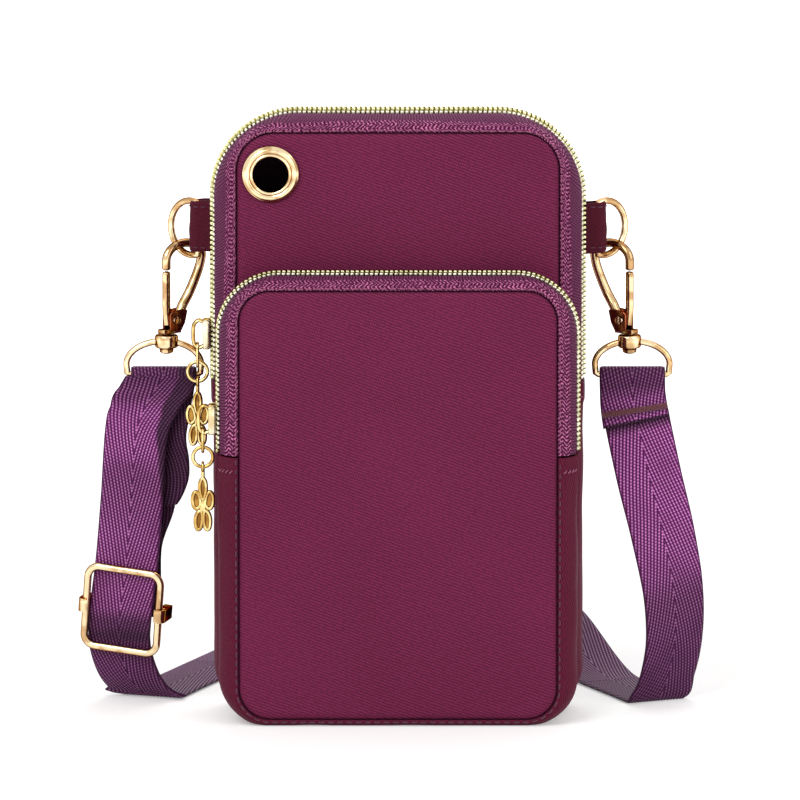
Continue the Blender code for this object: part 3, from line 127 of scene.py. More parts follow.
TAB_Z = 141.2 * MM
TAB_HALF = 6.7 * MM
TAB_REACH = 4.3 * MM
TAB_Y = 5.2 * MM
TAB_REAR_Y = 8.8 * MM
TAB_STAND = 0.4 * MM
D_WIRE = 1.0 * MM
D_HALF = 8.0 * MM
D_LEG = 4.0 * MM
D_BOW = 6.0 * MM
D_ANGLE = math.radians(38)
HOOK_ANGLE = math.radians(38)
HOOK_SPAN = 13.0 * MM
HOOK_HEIGHT = 26.2 * MM
HOOK_WIRE = 1.35 * MM
HOOK_GRIP = 5.2 * MM
HOOK_CLEARANCE = 0.8 * MM
NOSE_LOW = 18.7 * MM
SPINE_SHARES = ((0.36, 0.20), (0.45, 0.30), (0.62, 0.42), (0.80, 0.58), (0.93, 0.72), (0.99, 0.83))
CROOK_SHARE = 0.72
GATE_WIRE = 1.3 * MM
GATE_FLAT = 1.1 * MM
GATE_ROOT = 0.9 * MM
GATE_BEND_RISE = 4.2 * MM
CHEEK_INNER = 1.1 * MM
CHEEK_OUTER = 2.0 * MM
BASE_HEIGHT = 1.4 * MM
RIVET_U = 2.2 * MM
RIVET_W = 4.0 * MM
RIVET_RADIUS = 0.7 * MM
RIVET_HEAD = 1.3 * MM
RIVET_HEAD_HEIGHT = 0.5 * MM
GATE_EYE = 1.9 * MM
GATE_EYE_HALF = 0.4 * MM
POST_RADIUS = 1.0 * MM
POST_HEAD = 2.1 * MM
POST_HEAD_HEIGHT = 1.5 * MM
RING_WIRE = 0.95 * MM
RING_HALF = 10.9 * MM
RING_SHOULDER = 3.0 * MM
RING_HEIGHT = 9.8 * MM
RING_OFFSET = 0.8 * MM
COLLAR_RADIUS = 3.4 * MM
COLLAR_HALF = 1.9 * MM
COLLAR_BORE = 1.35 * MM

WEB_HALF = 9.6 * MM
WEB = 1.2 * MM
SWAY = 12.5 * MM
SET_BACK = 5.2 * MM
LEFT_NECK_SHARES = ((0.18, -0.25, 0.96, -4), (0.44, -0.13, 0.901, -12))
LEFT_RUN_SHARES = ((0.65, 0.0, 0.814, -18), (1.0, 1.0, 0.173, -18))
LEFT_FOOT_SHARES = ((0.86, 1.46, 0.085, -20), (0.57, 2.08, 0.028, -21))
LEFT_FLOOR_SHARES = (0.27, 2.62, 0.0)
LEFT_HEADING = 68.0
RIGHT_NECK_SHARES = ((0.02, 0.23, 0.936, 0), (0.13, 0.15, 0.854, 0), (0.40, 0.04, 0.692, 6))
RIGHT_BOW_SHARES = ((0.72, 0.12, 0.519, 14), (0.97, 0.31, 0.341, 24), (1.0, 0.54, 0.193, 30))
RIGHT_FOOT_SHARES = ((0.82, 0.85, 0.071, 32),)
RIGHT_FLOOR_SHARES = (0.58, 1.17, 0.0)
RIGHT_HEADING = 115.0
RIGHT_TAIL_SHARES = ((0.1, -0.19, 0.858), (0.02, -0.23, 0.926))
RUN_SHARES = ((0.3, 0.0), (0.6, 0.25), (0.86, 1.0), (1.0, 0.6))
LEFT_LEG_SHARES = (0.3, 1.0)
RIGHT_LEG_SHARES = (0.4, 1.0)
LEFT_TAIL = 41.5 * MM
TAIL_SHIFT = 2.0 * MM
LAYER_PITCH = 1.5 * MM
LAYERS = 9
HANK_HALF = 38.0 * MM
HANK_Y = 96.0 * MM
LEFT_CUT = 34.0 * MM
RIGHT_CUT = 30.0 * MM
BUCKLE_Z = 28.0 * MM
BUCKLE_HALF_WIDTH = 11.2 * MM
BUCKLE_HALF_HEIGHT = 12.0 * MM
BUCKLE_WIRE = 1.1 * MM
BUCKLE_CORNER = 3.4 * MM
BAR_RADIUS = 0.9 * MM
CAP_HALF = 2.0 * MM
CAP_WALL = 0.8 * MM
CAP_LIP = 0.3 * MM
CAP_TURN = math.radians(117)
END_LOOP = 33.0 * MM
END_LOOP_FRONT = 9.0 * MM
FLOOR_LIFT = UP * (WEB / 2)

# ---------------------------------------------------------------- how the cloth is drawn
SAME_ROW = 0.6 * MM / 9
ROW_STEP = 2.0 * MM
TUCK = 0.7 * MM
TUCK_DEPTH = 1.35 * MM
SEAM_VALLEY = 0.8 * MM
SEAM_REACH = 2.0 * MM
SEAM_SHADE = 0.26 * MM
WRINKLE = 0.32 * MM
WRINKLE_SIZE = 26.0 * MM
PUCKER = 0.16 * MM
PUCKER_SIZE = 3.4 * MM
EDGE_OFFSETS = tuple(v * MM for v in (0, 0.25, 0.6, 1.1, 1.8, 2.8))
STITCH_PITCH = 2.7 * MM
STITCH_LENGTH = 1.7 * MM
STITCH_RADIUS = 0.21 * MM
STITCH_OFFSET = 0.75 * MM
STITCH_RISE = 0.1 * MM
TOOTH_PITCH = 1.42 * MM
TOOTH_LEAN = 0.42
TOOTH_LENGTH = TOOTH_ROW + 0.25 * MM
MAIN_FRONT_STEP = 0.5 * MM
MAIN_REAR_STEP = 0.26 * MM
POCKET_ROW_STEP = 0.2 * MM
MAIN_TOOTH_HEIGHT = 1.8 * MM
POCKET_TOOTH_HEIGHT = 1.0 * MM
TAB_RISE = 0.8 * MM
MAIN_TAPE_DIP = 1.2 * MM
POCKET_TAPE_DIP = 0.4 * MM
TAPE_DIP_REACH = 2.4 * MM
RIB_PITCH = 1.0
RIB_RUN = 4.5
RIB_RISE = 0.14 * MM
TUBE_SIDES = 20
# Painted shade and highlight on the webbing, from 0 for its lit tone to 1 for near black: REAR_SHADE for
# layers in shadow behind the front strand; LEFT_SHADES and RIGHT_SHADES by height, as shares of the ring
# bar's height, for the strands' lit and shaded zones, their shaded feet and the shadow under the sewn end;
# LEFT_EDGE for where the left strand's turned-back edge goes into shade; TAIL_SHADES in millimetres along
# the sewn end for its shadow line and pale highlight ridge.
REAR_SHADE = 0.86
LEFT_SHADES = ((0.02, 0.66), (0.1, 0.62), (0.17, 0.66), (0.2, 0.86), (0.24, 0.72), (0.29, 0.3), (0.34, 0.22),
               (0.4, 0.14), (0.5, 0.2), (0.6, 0.36), (0.68, 0.4), (0.78, 0.12),
               (0.88, 0.04), (0.94, 0.5), (1.0, 0.66))
LEFT_EDGE = ((0.58, 1.2), (0.65, 0.88), (0.74, 0.79), (0.85, 0.6), (0.93, 0.43), (1.0, 0.4))
RIGHT_SHADES = ((0.02, 0.72), (0.1, 0.66), (0.3, 0.58), (0.45, 0.14), (0.6, 0.0), (0.82, 0.0),
                (0.84, 0.5), (0.855, 0.9), (1.0, 0.7))
TAIL_SHADES = ((0.0, 0.9), (0.6, 0.85), (1.0, 0.1), (1.3, 0.2), (2.0, 0.5), (3.6, 0.4), (6.5, 0.25),
               (9.0, 0.5), (11.0, 0.66))
TAIL_SLANT = 2.1 * MM
LEFT_TAIL_SLANT = 2.5 * MM
FOOT_EASE = 12
TAIL_TOP_SHIFT = 2.7 * MM
TAIL_MIDDLE_SHIFT = 4.3 * MM
TAIL_LOW_SHIFT = 0.5 * MM
END_OVERLAP = 4.5 * MM
END_LEAN = 3.3 * MM
END_LEAN_BACK = -1.1 * MM
END_LEAN_START = 17.5 * MM
STRAND_BULGE = 1.1 * MM
HEM = 4.1 * MM
TACK_RISE = 3.4 * MM

FLOOR_GLOW = 0.3
SIDES = {-1: "left", 1: "right"}

# Where the fabric stops following the standing part and starts to follow the front that tips open: the two
# bodies, and the places where the one ends and the other begins
MAIN_FIELD = ("root", "front_flap", (0, 0, 98.0 * MM), (0, -9.529 * MM, 101.7433 * MM))
POCKET_FIELD = ("root", "front_flap", (0, 0, 66.0 * MM), (0, 0, FOLD_Z))
POCKET_ZIP_FIELD = ("front_flap", "pocket_flap", (0, -20.15 * MM, 80.0 * MM), (0, -27.634 * MM, 83.368 * MM))


def srgb(red, green, blue):
    """A colour as it looks on screen, 0 to 255, as the linear numbers that a shader takes."""
    values = []
    for value in (red, green, blue):
        share = value / 255
        values.append(share / 12.92 if share <= 0.04045 else ((share + 0.055) / 1.055) ** 2.4)
    return (*values, 1.0)


# ---------------------------------------------------------------- materials
class Nodes:
    """Short ways to add and join the nodes of a tree."""

    def __init__(self, tree):
        self.tree = tree

    def feed(self, target, value):
        """Give a socket a number, a colour or another node's output."""
        if isinstance(value, bpy.types.NodeSocket):
            self.tree.links.new(value, target)
        elif value is not None:
            target.default_value = value

    def add(self, kind, **settings):
        node = self.tree.nodes.new(kind)
        for key, value in settings.items():
            setattr(node, key, value)
        return node

    def filled(self, values, kind, output=0, **settings):
        """A node with sockets filled, by their places or names; gives one output."""
        node = self.add(kind, **settings)
        for socket, value in values.items() if isinstance(values, dict) else enumerate(values):
            self.feed(node.inputs[socket], value)
        return node.outputs[output]

    def math(self, operation, *values):
        return self.filled(values, "ShaderNodeMath", operation=operation)

    def scaled(self, value, factor, plus=0.0):
        return self.math("MULTIPLY_ADD", value, factor, plus)

    def map_range(self, value, low, high, to_low=0.0, to_high=1.0):
        return self.filled((value, low, high, to_low, to_high), "ShaderNodeMapRange",
                           interpolation_type="SMOOTHSTEP")

    def mix(self, share, first, second):
        return self.filled({0: share, 6: first, 7: second}, "ShaderNodeMix", 2, data_type="RGBA")

    def tint(self, tone, color, value, low, high, to_low=0.0, to_high=1.0):
        """The tone with a colour mixed in as a value goes from low to high."""
        return self.mix(self.map_range(value, low, high, to_low, to_high), tone, color)

    def noise(self, vector, scale, detail=3.0, roughness=0.5):
        return self.filled({"Vector": vector, "Scale": scale, "Detail": detail, "Roughness": roughness},
                           "ShaderNodeTexNoise")

    def wave(self, value, pitch, shift=0.0):
        """A smooth wave from 0 to 1 with the given pitch."""
        turned = self.scaled(value, math.tau / pitch, shift)
        return self.scaled(self.math("SINE", turned), 0.5, 0.5)

    def bump(self, height, strength, distance, normal=None):
        return self.filled({"Strength": strength, "Distance": distance, "Height": height, "Normal": normal},
                           "ShaderNodeBump")


class Look(Nodes):
    """A material with its shader and the maps that its pieces carry."""

    def __init__(self, name, roughness, metallic=0.0):
        self.material = bpy.data.materials.new(name)
        self.material.use_nodes = True
        super().__init__(self.material.node_tree)
        self.set("Roughness", roughness)
        self.set("Metallic", metallic)

    def set(self, socket, value):
        self.feed(self.tree.nodes["Principled BSDF"].inputs[socket], value)

    def cloth(self):
        """The cloth map's vector, and its two coordinates in millimetres."""
        node = self.add("ShaderNodeUVMap", uv_map="cloth")
        split = self.add("ShaderNodeSeparateXYZ")
        self.feed(split.inputs[0], node.outputs[0])
        return node.outputs[0], split.outputs[0], split.outputs[1]

    def place(self):
        return self.add("ShaderNodeTexCoord").outputs["Object"]

    def seam(self):
        """Each place's painted shade, from 0 to 1: in the seam grooves, and along the webbing's strands."""
        return self.add("ShaderNodeAttribute", attribute_name="seam").outputs["Fac"]


def shaded(color, factor):
    return (*(min(1.0, c * factor) for c in color[:3]), 1.0)


def twill_look(name, color, pitch, seam_color, contrast=1.0):
    """Nylon twill: fine slanted ribs crossed by threads, with uneven dye and painted shade in the seam
    grooves.
    """
    look = Look(name, roughness=0.62)
    uv, u, v = look.cloth()
    wander = look.scaled(look.noise(uv, 0.35, 2.0), 0.5, v)
    slant = look.scaled(u, 0.34, look.scaled(wander, 0.94))
    cross = look.scaled(u, -0.94, look.scaled(v, 0.34))
    rib = look.wave(slant, pitch)
    thread = look.wave(cross, pitch * 0.8)
    weave = look.scaled(thread, 0.35, look.scaled(rib, 0.65))
    patchy = look.noise(uv, 0.022, 2.0)
    grain = look.noise(uv, 1.1, 2.0)
    tone = look.mix(weave, shaded(color, 1 - 0.36 * contrast), shaded(color, 1 + 0.3 * contrast))
    tone = look.tint(tone, shaded(color, 1.3), patchy, 0.4, 0.75, 0.0, 0.26)
    tone = look.tint(tone, shaded(color, 0.7), patchy, 0.25, 0.5, 0.22, 0.0)
    tone = look.tint(tone, shaded(color, 0.55), grain, 0.4, 0.7, 0.0, 0.5)
    # Painted shade: the seam colour darkens the cloth in its seam grooves.
    look.set("Base Color", look.mix(look.seam(), tone, seam_color))
    look.set("Roughness", look.map_range(weave, 0.0, 1.0, 0.72, 0.56))
    look.set("Normal", look.bump(patchy, 0.25, 0.5 * MM, look.bump(weave, 0.55, 0.09 * MM)))
    look.set("Specular IOR Level", 0.1)
    return look.material


def tape_look():
    """Zip tape: two columns of herringbone beside the seam, then a smooth ribbed strip at the teeth."""
    look = Look("zip_tape", roughness=0.6)
    uv, u, v = look.cloth()
    shake = look.scaled(look.noise(uv, 0.9, 1.0), 0.7, u)
    column = look.math("PINGPONG", v, 1.5)
    phase = look.scaled(column, 0.85, shake)
    dash = look.map_range(look.wave(phase, 1.2), 0.35, 0.8)
    fleck = look.noise(uv, 1.7, 1.0)
    dash = look.scaled(dash, look.map_range(fleck, 0.4, 0.58, 0.1, 1.0))
    seam_gap = look.map_range(look.math("PINGPONG", look.math("ADD", v, 0.75), 0.75), 0.0, 0.16, 0.5, 0.0)
    ribs = look.wave(u, 0.9)
    patchy = look.noise(uv, 0.12, 3.0)
    bone = look.mix(dash, srgb(72, 16, 50), srgb(214, 124, 172))
    bone = look.mix(seam_gap, bone, srgb(54, 12, 38))
    strip = look.mix(ribs, srgb(66, 24, 48), srgb(118, 60, 94))
    tone = look.tint(bone, strip, v, 4.5, 5.0)
    tone = look.tint(tone, srgb(96, 34, 74), patchy, 0.35, 0.7, 0.0, 0.3)
    # Painted shade in the seam's groove.
    look.set("Base Color", look.mix(look.seam(), tone, srgb(44, 8, 34)))
    height = look.scaled(ribs, 0.5, look.scaled(dash, 0.8))
    look.set("Normal", look.bump(height, 0.8, 0.14 * MM))
    look.set("Specular IOR Level", 0.06)
    return look.material


def webbing_look(name, run):
    """Twill webbing: two mirrored halves of slanted lilac ribs with dark gaps and small dark ticks."""
    look = Look(name, roughness=0.55)
    uv, u, v = look.cloth()
    wide = look.math("ABSOLUTE", u)
    phase = look.scaled(v, run / RIB_RUN, look.scaled(wide, 1 / RIB_PITCH))
    rib = look.wave(phase, 1.0, math.pi / 2)
    floor = look.math("FLOOR", look.math("ADD", phase, 0.5))
    tick = look.wave(look.scaled(floor, 0.37, v), 0.95)
    patchy = look.noise(uv, 0.06, 3.0)
    lift = look.scaled(tick, 0.34, look.scaled(rib, 0.66))
    tone = look.tint(srgb(60, 12, 54), srgb(150, 62, 138), lift, 0.18, 0.6)
    tone = look.tint(tone, srgb(224, 150, 214), lift, 0.6, 0.95)
    tone = look.tint(tone, srgb(92, 30, 84), patchy, 0.4, 0.75, 0.0, 0.4)
    tone = look.tint(tone, srgb(84, 24, 78), wide, 8.9, 9.4)
    # Painted shade: the shade attribute darkens the lit webbing tone towards near-black plum.
    look.set("Base Color", look.mix(look.seam(), tone, srgb(24, 5, 20)))
    look.set("Roughness", look.map_range(rib, 0.0, 1.0, 0.75, 0.42))
    look.set("Normal", look.bump(lift, 0.55, 0.14 * MM))
    look.set("Specular IOR Level", 0.16)
    return look.material


def metal_look(name, color, middle, edge, roughness=0.16, wear=0.05):
    """Plated metal with faint uneven polish and painted reflections: broad patches of a darker tone, and a
    tone that darkens where the surface turns away from the camera and lifts again at the rim.
    """
    look = Look(name, roughness=roughness, metallic=1.0)
    # middle and edge are the painted reflection tones; middle also tints the specular.
    color, middle, edge = srgb(*color), srgb(*middle), srgb(*edge)
    place = look.place()
    smear = look.noise(place, 420.0, 4.0, 0.6)
    speck = look.noise(place, 2600.0, 2.0)
    # Painted reflection: broad patches of the middle tone.
    reflection_patches = look.noise(place, 210.0, 1.0, 0.4)
    tone = look.tint(color, shaded(color, 0.84), smear, 0.35, 0.75, 0.0, 0.5)
    tone = look.tint(tone, middle, reflection_patches, 0.46, 0.62, 0.0, 0.75)
    # Painted reflection: the tone darkens as the surface turns from the camera and lifts again at the rim.
    facing = look.add("ShaderNodeLayerWeight").outputs["Facing"]
    tone = look.tint(tone, middle, facing, 0.22, 0.5)
    tone = look.tint(tone, edge, facing, 0.5, 0.72)
    tone = look.tint(tone, middle, facing, 0.8, 0.97)
    look.set("Base Color", tone)
    look.set("Roughness", look.map_range(smear, 0.3, 0.75, roughness - wear, roughness + wear))
    look.set("Normal", look.bump(speck, 0.06, 0.02 * MM, look.bump(smear, 0.12, 0.05 * MM)))
    look.set("Specular Tint", middle)
    return look.material


def thread_look(name, color):
    """Sewing thread: a fine twist along each stitch."""
    look = Look(name, roughness=0.6)
    twist = look.noise(look.place(), 3400.0, 2.0)
    look.set("Base Color", look.tint(shaded(color, 0.7), shaded(color, 1.3), twist, 0.3, 0.7))
    look.set("Normal", look.bump(twist, 0.5, 0.05 * MM))
    look.set("Sheen Weight", 0.3)
    return look.material


def floor_look():
    """The pale floor; a camera ray sees it a little brighter, so it is white but keeps the shadow."""
    look = Look("studio_floor", roughness=0.9)
    place = look.place()
    look.set("Base Color", look.mix(look.noise(place, 3.0, 2.0), srgb(228, 227, 226), srgb(232, 231, 230)))
    look.set("Specular IOR Level", 0.1)
    path = look.add("ShaderNodeLightPath").outputs
    seen = look.math("MAXIMUM", path["Is Camera Ray"], path["Is Glossy Ray"])
    away = look.add("ShaderNodeVectorMath", operation="LENGTH")
    look.feed(away.inputs[0], place)
    # Painted glow: camera and glossy rays see the floor glow, at FLOOR_GLOW near the middle and fully from
    # 0.9 m out.
    glow = look.map_range(away.outputs["Value"], 0.3, 0.9, FLOOR_GLOW, 1.0)
    look.set("Emission Color", (1.0, 1.0, 1.0, 1.0))
    look.set("Emission Strength", look.scaled(seen, glow))
    return look.material


NYLON = srgb(110, 34, 68)
# The nylon painted darker: shade on the gusset's sideways faces.
GUSSET = srgb(92, 22, 48)
# The colour of the painted shade in the seam grooves.
SEAM_DARK = srgb(40, 6, 26)
# Each look's slot name and material; the threads' slot names are empty
LOOKS = {
    "nylon": ("nylon", twill_look("nylon_twill", NYLON, 0.84, SEAM_DARK, 1.7)),
    "gusset": ("gusset", twill_look("nylon_gusset", GUSSET, 0.74, SEAM_DARK, 1.5)),
    "tab": ("nylon", twill_look("nylon_tab", srgb(80, 18, 38), 0.62, SEAM_DARK)),
    "lining": ("lining", twill_look("lining_cloth", srgb(34, 8, 22), 0.5, srgb(20, 6, 14), 0.6)),
    "tape": ("tape", tape_look()),
    "webbing_left": ("webbing", webbing_look("webbing_left", 1.0)),
    "webbing_right": ("webbing", webbing_look("webbing_right", -1.0)),
    "thread_dark": ("", thread_look("thread_plum", srgb(70, 18, 50))),
    "thread_pink": ("", thread_look("thread_pink", srgb(140, 62, 96))),
    "thread_brown": ("", thread_look("thread_brown", srgb(98, 34, 46))),
}
# Metals: the tone, the middle and dark tones of the painted reflections, and the roughness.
for key, name, slot, tone, middle, edge, roughness in (
        ("gold", "champagne_gold", "gold", (246, 222, 178), (184, 138, 86), (76, 46, 24), 0.16),
        ("hook_gold", "hook_gold", "gold", (238, 208, 160), (150, 104, 60), (52, 30, 16), 0.13),
        ("yellow", "yellow_gold", "gold", (242, 218, 150), (184, 138, 62), (84, 54, 18), 0.16),
        # A pale copy of the gold: painted highlight on the slider body.
        ("gold_slider_highlight", "gold_painted_slider_highlight", "gold", (248, 238, 206), (214, 186, 130), (140, 104, 56), 0.22),
        # A dark copy of the gold: painted dark reflection on the hook cheeks.
        ("gold_dark_reflection", "gold_painted_dark_reflection", "gold", (150, 84, 54), (104, 50, 30), (60, 26, 16), 0.24),
        # A darker gold: painted shade inside the charm petals.
        ("gold_petal_shade", "gold_painted_petal_shade", "gold", (176, 130, 62), (122, 80, 36), (66, 38, 16), 0.24),
        # A paler copy of the teeth's metal: the front row painted lit.
        ("teeth_pale", "teeth_pale", "teeth", (246, 242, 224), (200, 194, 166), (72, 66, 52), 0.3),
        ("teeth_gold", "teeth_gold", "teeth", (240, 236, 192), (196, 190, 132), (92, 86, 56), 0.3),
        ("steel", "spring_steel", "", (176, 176, 178), (140, 140, 142), (80, 80, 82), 0.24)):
    LOOKS[key] = slot, metal_look(name, tone, middle, edge, roughness)


# ---------------------------------------------------------------- mesh helpers
class Cloth:
    """Map coordinates in millimetres, and each vertex's painted shade from 0 to 1: in a seam's groove,
    stronger nearer the seam, or along the webbing.
    """

    def __init__(self):
        self.uvs, self.painted_shades = [], []

    def note(self, u, v, seam):
        self.uvs.append((u / MM, v / MM))
        self.painted_shades.append(seam)


def merge(*shapes):
    """Several shapes as one."""
    vertices, faces = [], []
    for some_vertices, some_faces in shapes:
        lift = len(vertices)
        vertices += some_vertices
        faces += [tuple(i + lift for i in face) for face in some_faces]
    return vertices, faces


def link_object(name, data):
    """A new object in the scene."""
    made = bpy.data.objects.new(name, data)
    bpy.context.collection.objects.link(made)
    return made


def add_piece(name, shape, look, carrier, nodes="", sharp=40):
    """A mesh object that stands for CAD nodes; it rides on a body, or stays in place unparented where
    carrier is a field.
    """
    vertices, faces, *maps = shape
    mesh = bpy.data.meshes.new(name)
    mesh.from_pydata([tuple(v) for v in vertices], [], faces)
    work = bmesh.new()
    work.from_mesh(mesh)
    bmesh.ops.recalc_face_normals(work, faces=work.faces)
    work.to_mesh(mesh)
    work.free()
    for cloth in maps:
        corner = np.empty(len(mesh.loops), np.int64)
        mesh.loops.foreach_get("vertex_index", corner)
        layer = mesh.uv_layers.new(name="cloth")
        layer.data.foreach_set("uv", np.array(cloth.uvs, np.float32)[corner].ravel())
        # Each vertex's painted shade, which the looks read as the seam attribute.
        seam = mesh.attributes.new("seam", "FLOAT", "POINT")
        seam.data.foreach_set("value", np.array(cloth.painted_shades, np.float32))
    own_slot, material = LOOKS[look]
    mesh.materials.append(material)
    mesh.shade_smooth()
    mesh.set_sharp_from_angle(angle=math.radians(sharp))
    piece = link_object(name, mesh)
    if isinstance(carrier, tuple):
        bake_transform(piece)
    else:
        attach(piece, carrier)
    if nodes:
        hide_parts(*nodes.split())
    return piece


def grid_shell(outer, inner, cloth, hole=()):
    """A closed sheet from two matching grids of points that share a map, less the cells named in hole.

    Vertices that no face uses are parked on a used one, so that none floats free.
    """
    rows, columns = len(outer), len(outer[0])
    vertices = [p for row in outer + inner for p in row]
    lift = rows * columns
    faces = []
    for r in range(rows - 1):
        for c in range(columns - 1):
            if (r, c) in hole:
                continue
            a, b = r * columns + c, (r + 1) * columns + c
            faces.append((a, a + 1, b + 1, b))
            faces.append((lift + a, lift + b, lift + b + 1, lift + a + 1))
            for (row, column), first, second in (((r - 1, c), a, a + 1), ((r + 1, c), b, b + 1),
                                                 ((r, c - 1), a, b), ((r, c + 1), a + 1, b + 1)):
                inside = 0 <= row < rows - 1 and 0 <= column < columns - 1
                if not inside or (row, column) in hole:
                    faces.append((first, second, lift + second, lift + first))
    used = {i for face in faces for i in face}
    anchor = vertices[faces[0][0]]
    cloth.uvs *= 2
    cloth.painted_shades *= 2
    return [v if i in used else anchor for i, v in enumerate(vertices)], faces, cloth


def loop_solid(rings, closed):
    """A solid from equal rings of points, its ends joined or capped."""
    sides = len(rings[0])
    vertices = [p for ring in rings for p in ring]
    faces = []
    spans = len(rings) if closed else len(rings) - 1
    for i in range(spans):
        j = (i + 1) % len(rings)
        for k in range(sides):
            m = (k + 1) % sides
            faces.append((i * sides + k, i * sides + m, j * sides + m, j * sides + k))
    if not closed:
        last = (len(rings) - 1) * sides
        faces.append(tuple(range(sides)))
        faces.append(tuple(last + k for k in reversed(range(sides))))
    return vertices, faces


def tube(path, plane_normal, radius, closed=True, flat=None, sides=TUBE_SIDES, round_ends=True):
    """A bar along a path in one plane, with rounded ends where it is open; flat is its size across."""
    path = list(path)
    radii = list(radius) if isinstance(radius, list) else [radius] * len(path)
    if not closed and round_ends:
        path, radii = rounded_ends(path, radii)
    rings = []
    count = len(path)
    for i, point in enumerate(path):
        before = path[i - 1] if closed or i > 0 else point
        after = path[(i + 1) % count] if closed or i < count - 1 else point
        side = (after - before).cross(plane_normal).normalized()
        share = 1.0 if flat is None else flat / max(radii)
        ring = []
        for k in range(sides):
            angle = math.tau * (k + 0.5) / sides
            across, deep = radii[i] * math.cos(angle), radii[i] * share * math.sin(angle)
            ring.append(point + side * across + plane_normal * deep)
        rings.append(ring)
    return loop_solid(rings, closed)


def rounded_ends(path, radii):
    """Adds short steps of falling radius at both ends of an open path, inside its length."""
    steps = ((1.0, 0.55), (0.92, 0.3), (0.72, 0.1), (0.4, 0.0))
    start = (path[1] - path[0]).normalized()
    finish = (path[-2] - path[-1]).normalized()
    head = [(path[0] + start * (radii[0] * depth), radii[0] * share) for share, depth in reversed(steps)]
    tail = [(path[-1] + finish * (radii[-1] * depth), radii[-1] * share) for share, depth in steps]
    joined = head + list(zip(path, radii))[1:-1] + tail
    return [pair[0] for pair in joined], [pair[1] for pair in joined]


def smooth_path(points, steps):
    """A Catmull-Rom curve through the points."""
    result = []
    for before, start, end, after in zip(points[:1] + points, points, points[1:], points[2:] + points[-1:]):
        for k in range(steps):
            t = k / steps
            bend = (end - before) * t + (before * 2 - start * 5 + end * 4 - after) * t ** 2
            bend += (start * 3 - before - end * 3 + after) * t ** 3
            result.append(start + bend / 2)
    return result + [points[-1].copy()]


def turned(profile, base, axis, steps=64):
    """A solid turned round an axis; the profile lists (radius, height) and closes on itself."""
    axis = axis.normalized()
    side = axis.orthogonal().normalized()
    other = axis.cross(side)
    vertices, rings = [], []
    for radius, height in profile:
        centre = base + axis * height
        if radius == 0:
            rings.append([len(vertices)] * steps)
            vertices.append(centre)
            continue
        rings.append(list(range(len(vertices), len(vertices) + steps)))
        for k in range(steps):
            angle = math.tau * k / steps
            vertices.append(centre + (side * math.cos(angle) + other * math.sin(angle)) * radius)
    faces = []
    on_axis = profile[0][0] == 0
    for low, high in zip(rings, rings[1:] if on_axis else rings[1:] + rings[:1]):
        for k in range(steps):
            m = (k + 1) % steps
            faces.append(tuple(dict.fromkeys([low[k], low[m], high[m], high[k]])))
    return vertices, faces


def prism(outline, axes, low, high):
    """An outline of (u, w) points made solid between two places along the frame's v."""
    return loop_solid([put(axes, outline, v) for v in (low, high)], closed=False)


def bevelled(shape, width, segments=3, angle=30):
    """The shape with its sharp edges rounded."""
    vertices, faces = shape
    work = bmesh.new()
    points = [work.verts.new(v) for v in vertices]
    for face in faces:
        work.faces.new([points[i] for i in face])
    bmesh.ops.recalc_face_normals(work, faces=work.faces)
    limit = math.radians(angle)
    edges = [e for e in work.edges if e.calc_face_angle(0) > limit]
    bmesh.ops.bevel(work, geom=edges, offset=width, segments=segments, profile=0.5, affect="EDGES",
                    clamp_overlap=True)
    work.verts.index_update()
    result = [v.co.copy() for v in work.verts], [tuple(v.index for v in f.verts) for f in work.faces]
    work.free()
    return result


def local_frame(origin, u_axis, w_axis=UP):
    """The matrix that takes (u, v, w) to the world, v completing the frame."""
    u_axis, w_axis = u_axis.normalized(), w_axis.normalized()
    v_axis = w_axis.cross(u_axis)
    axes = Matrix.Identity(4)
    for column, vector in enumerate((u_axis, v_axis, w_axis, origin)):
        axes[0][column], axes[1][column], axes[2][column] = vector
    return axes


def put(axes, points, v=0.0):
    """Places in the world of (u, w) points in the frame's plane at v."""
    return [axes @ Vector((u, v, w)) for u, w in points]


def turn_to(axes, vector):
    """A step in the frame's own directions as one in the world's."""
    return axes.to_3x3() @ vector


def spread(start, end, count):
    """Evenly spaced numbers from start to end."""
    return [start + (end - start) * i / (count - 1) for i in range(count)]


def arc(centre, half, start, end, steps):
    """Points (u, w) round an ellipse about a centre, from one angle to another."""
    return [(centre[0] + half[0] * math.cos(angle), centre[1] + half[1] * math.sin(angle))
            for angle in spread(start, end, steps + 1)]


def ellipse(half_u, half_w, steps=40):
    """Evenly spaced (u, w) points round a whole ellipse."""
    return arc((0, 0), (half_u, half_w), 0, math.tau, steps)[:-1]


def marks_along(points):
    """How far along a line each of its points is."""
    marks = [0.0]
    for a, b in zip(points, points[1:]):
        marks.append(marks[-1] + (b - a).length)
    return marks


def ripple(x, y, z, size, depth):
    """Smooth seeded noise at a place, at most about the depth."""
    return noise.noise(Vector((x, y, z)) / size + Vector((7.3, 1.9, 4.1))) * depth


# ---------------------------------------------------------------- the bag's shape
def arch(half, end, far, radius, side_steps=40, corner_steps=30, far_steps=60):
    """Points from (-half, end) round the edge at height far to (half, end)."""
    turn = math.copysign(1, far - end)
    corner = far - turn * radius
    left = []
    for i in range(side_steps):
        left.append((-half, end + (corner - end) * i / side_steps))
    for i in range(corner_steps + 1):
        angle = math.pi / 2 * i / corner_steps
        left.append((-half + radius - radius * math.cos(angle), corner + turn * radius * math.sin(angle)))
    middle = []
    for i in range(1, far_steps):
        middle.append(((half - radius) * (2 * i / far_steps - 1), far))
    return left + middle + [(-x, z) for x, z in reversed(left)]


def swell(x, z, half, low, top):
    """One at the middle of a panel and zero at its seams."""
    across = 1 - (x / half) ** 2
    along = 1 - ((2 * z - low - top) / (top - low)) ** 2
    return max(0.0, across) * max(0.0, along)


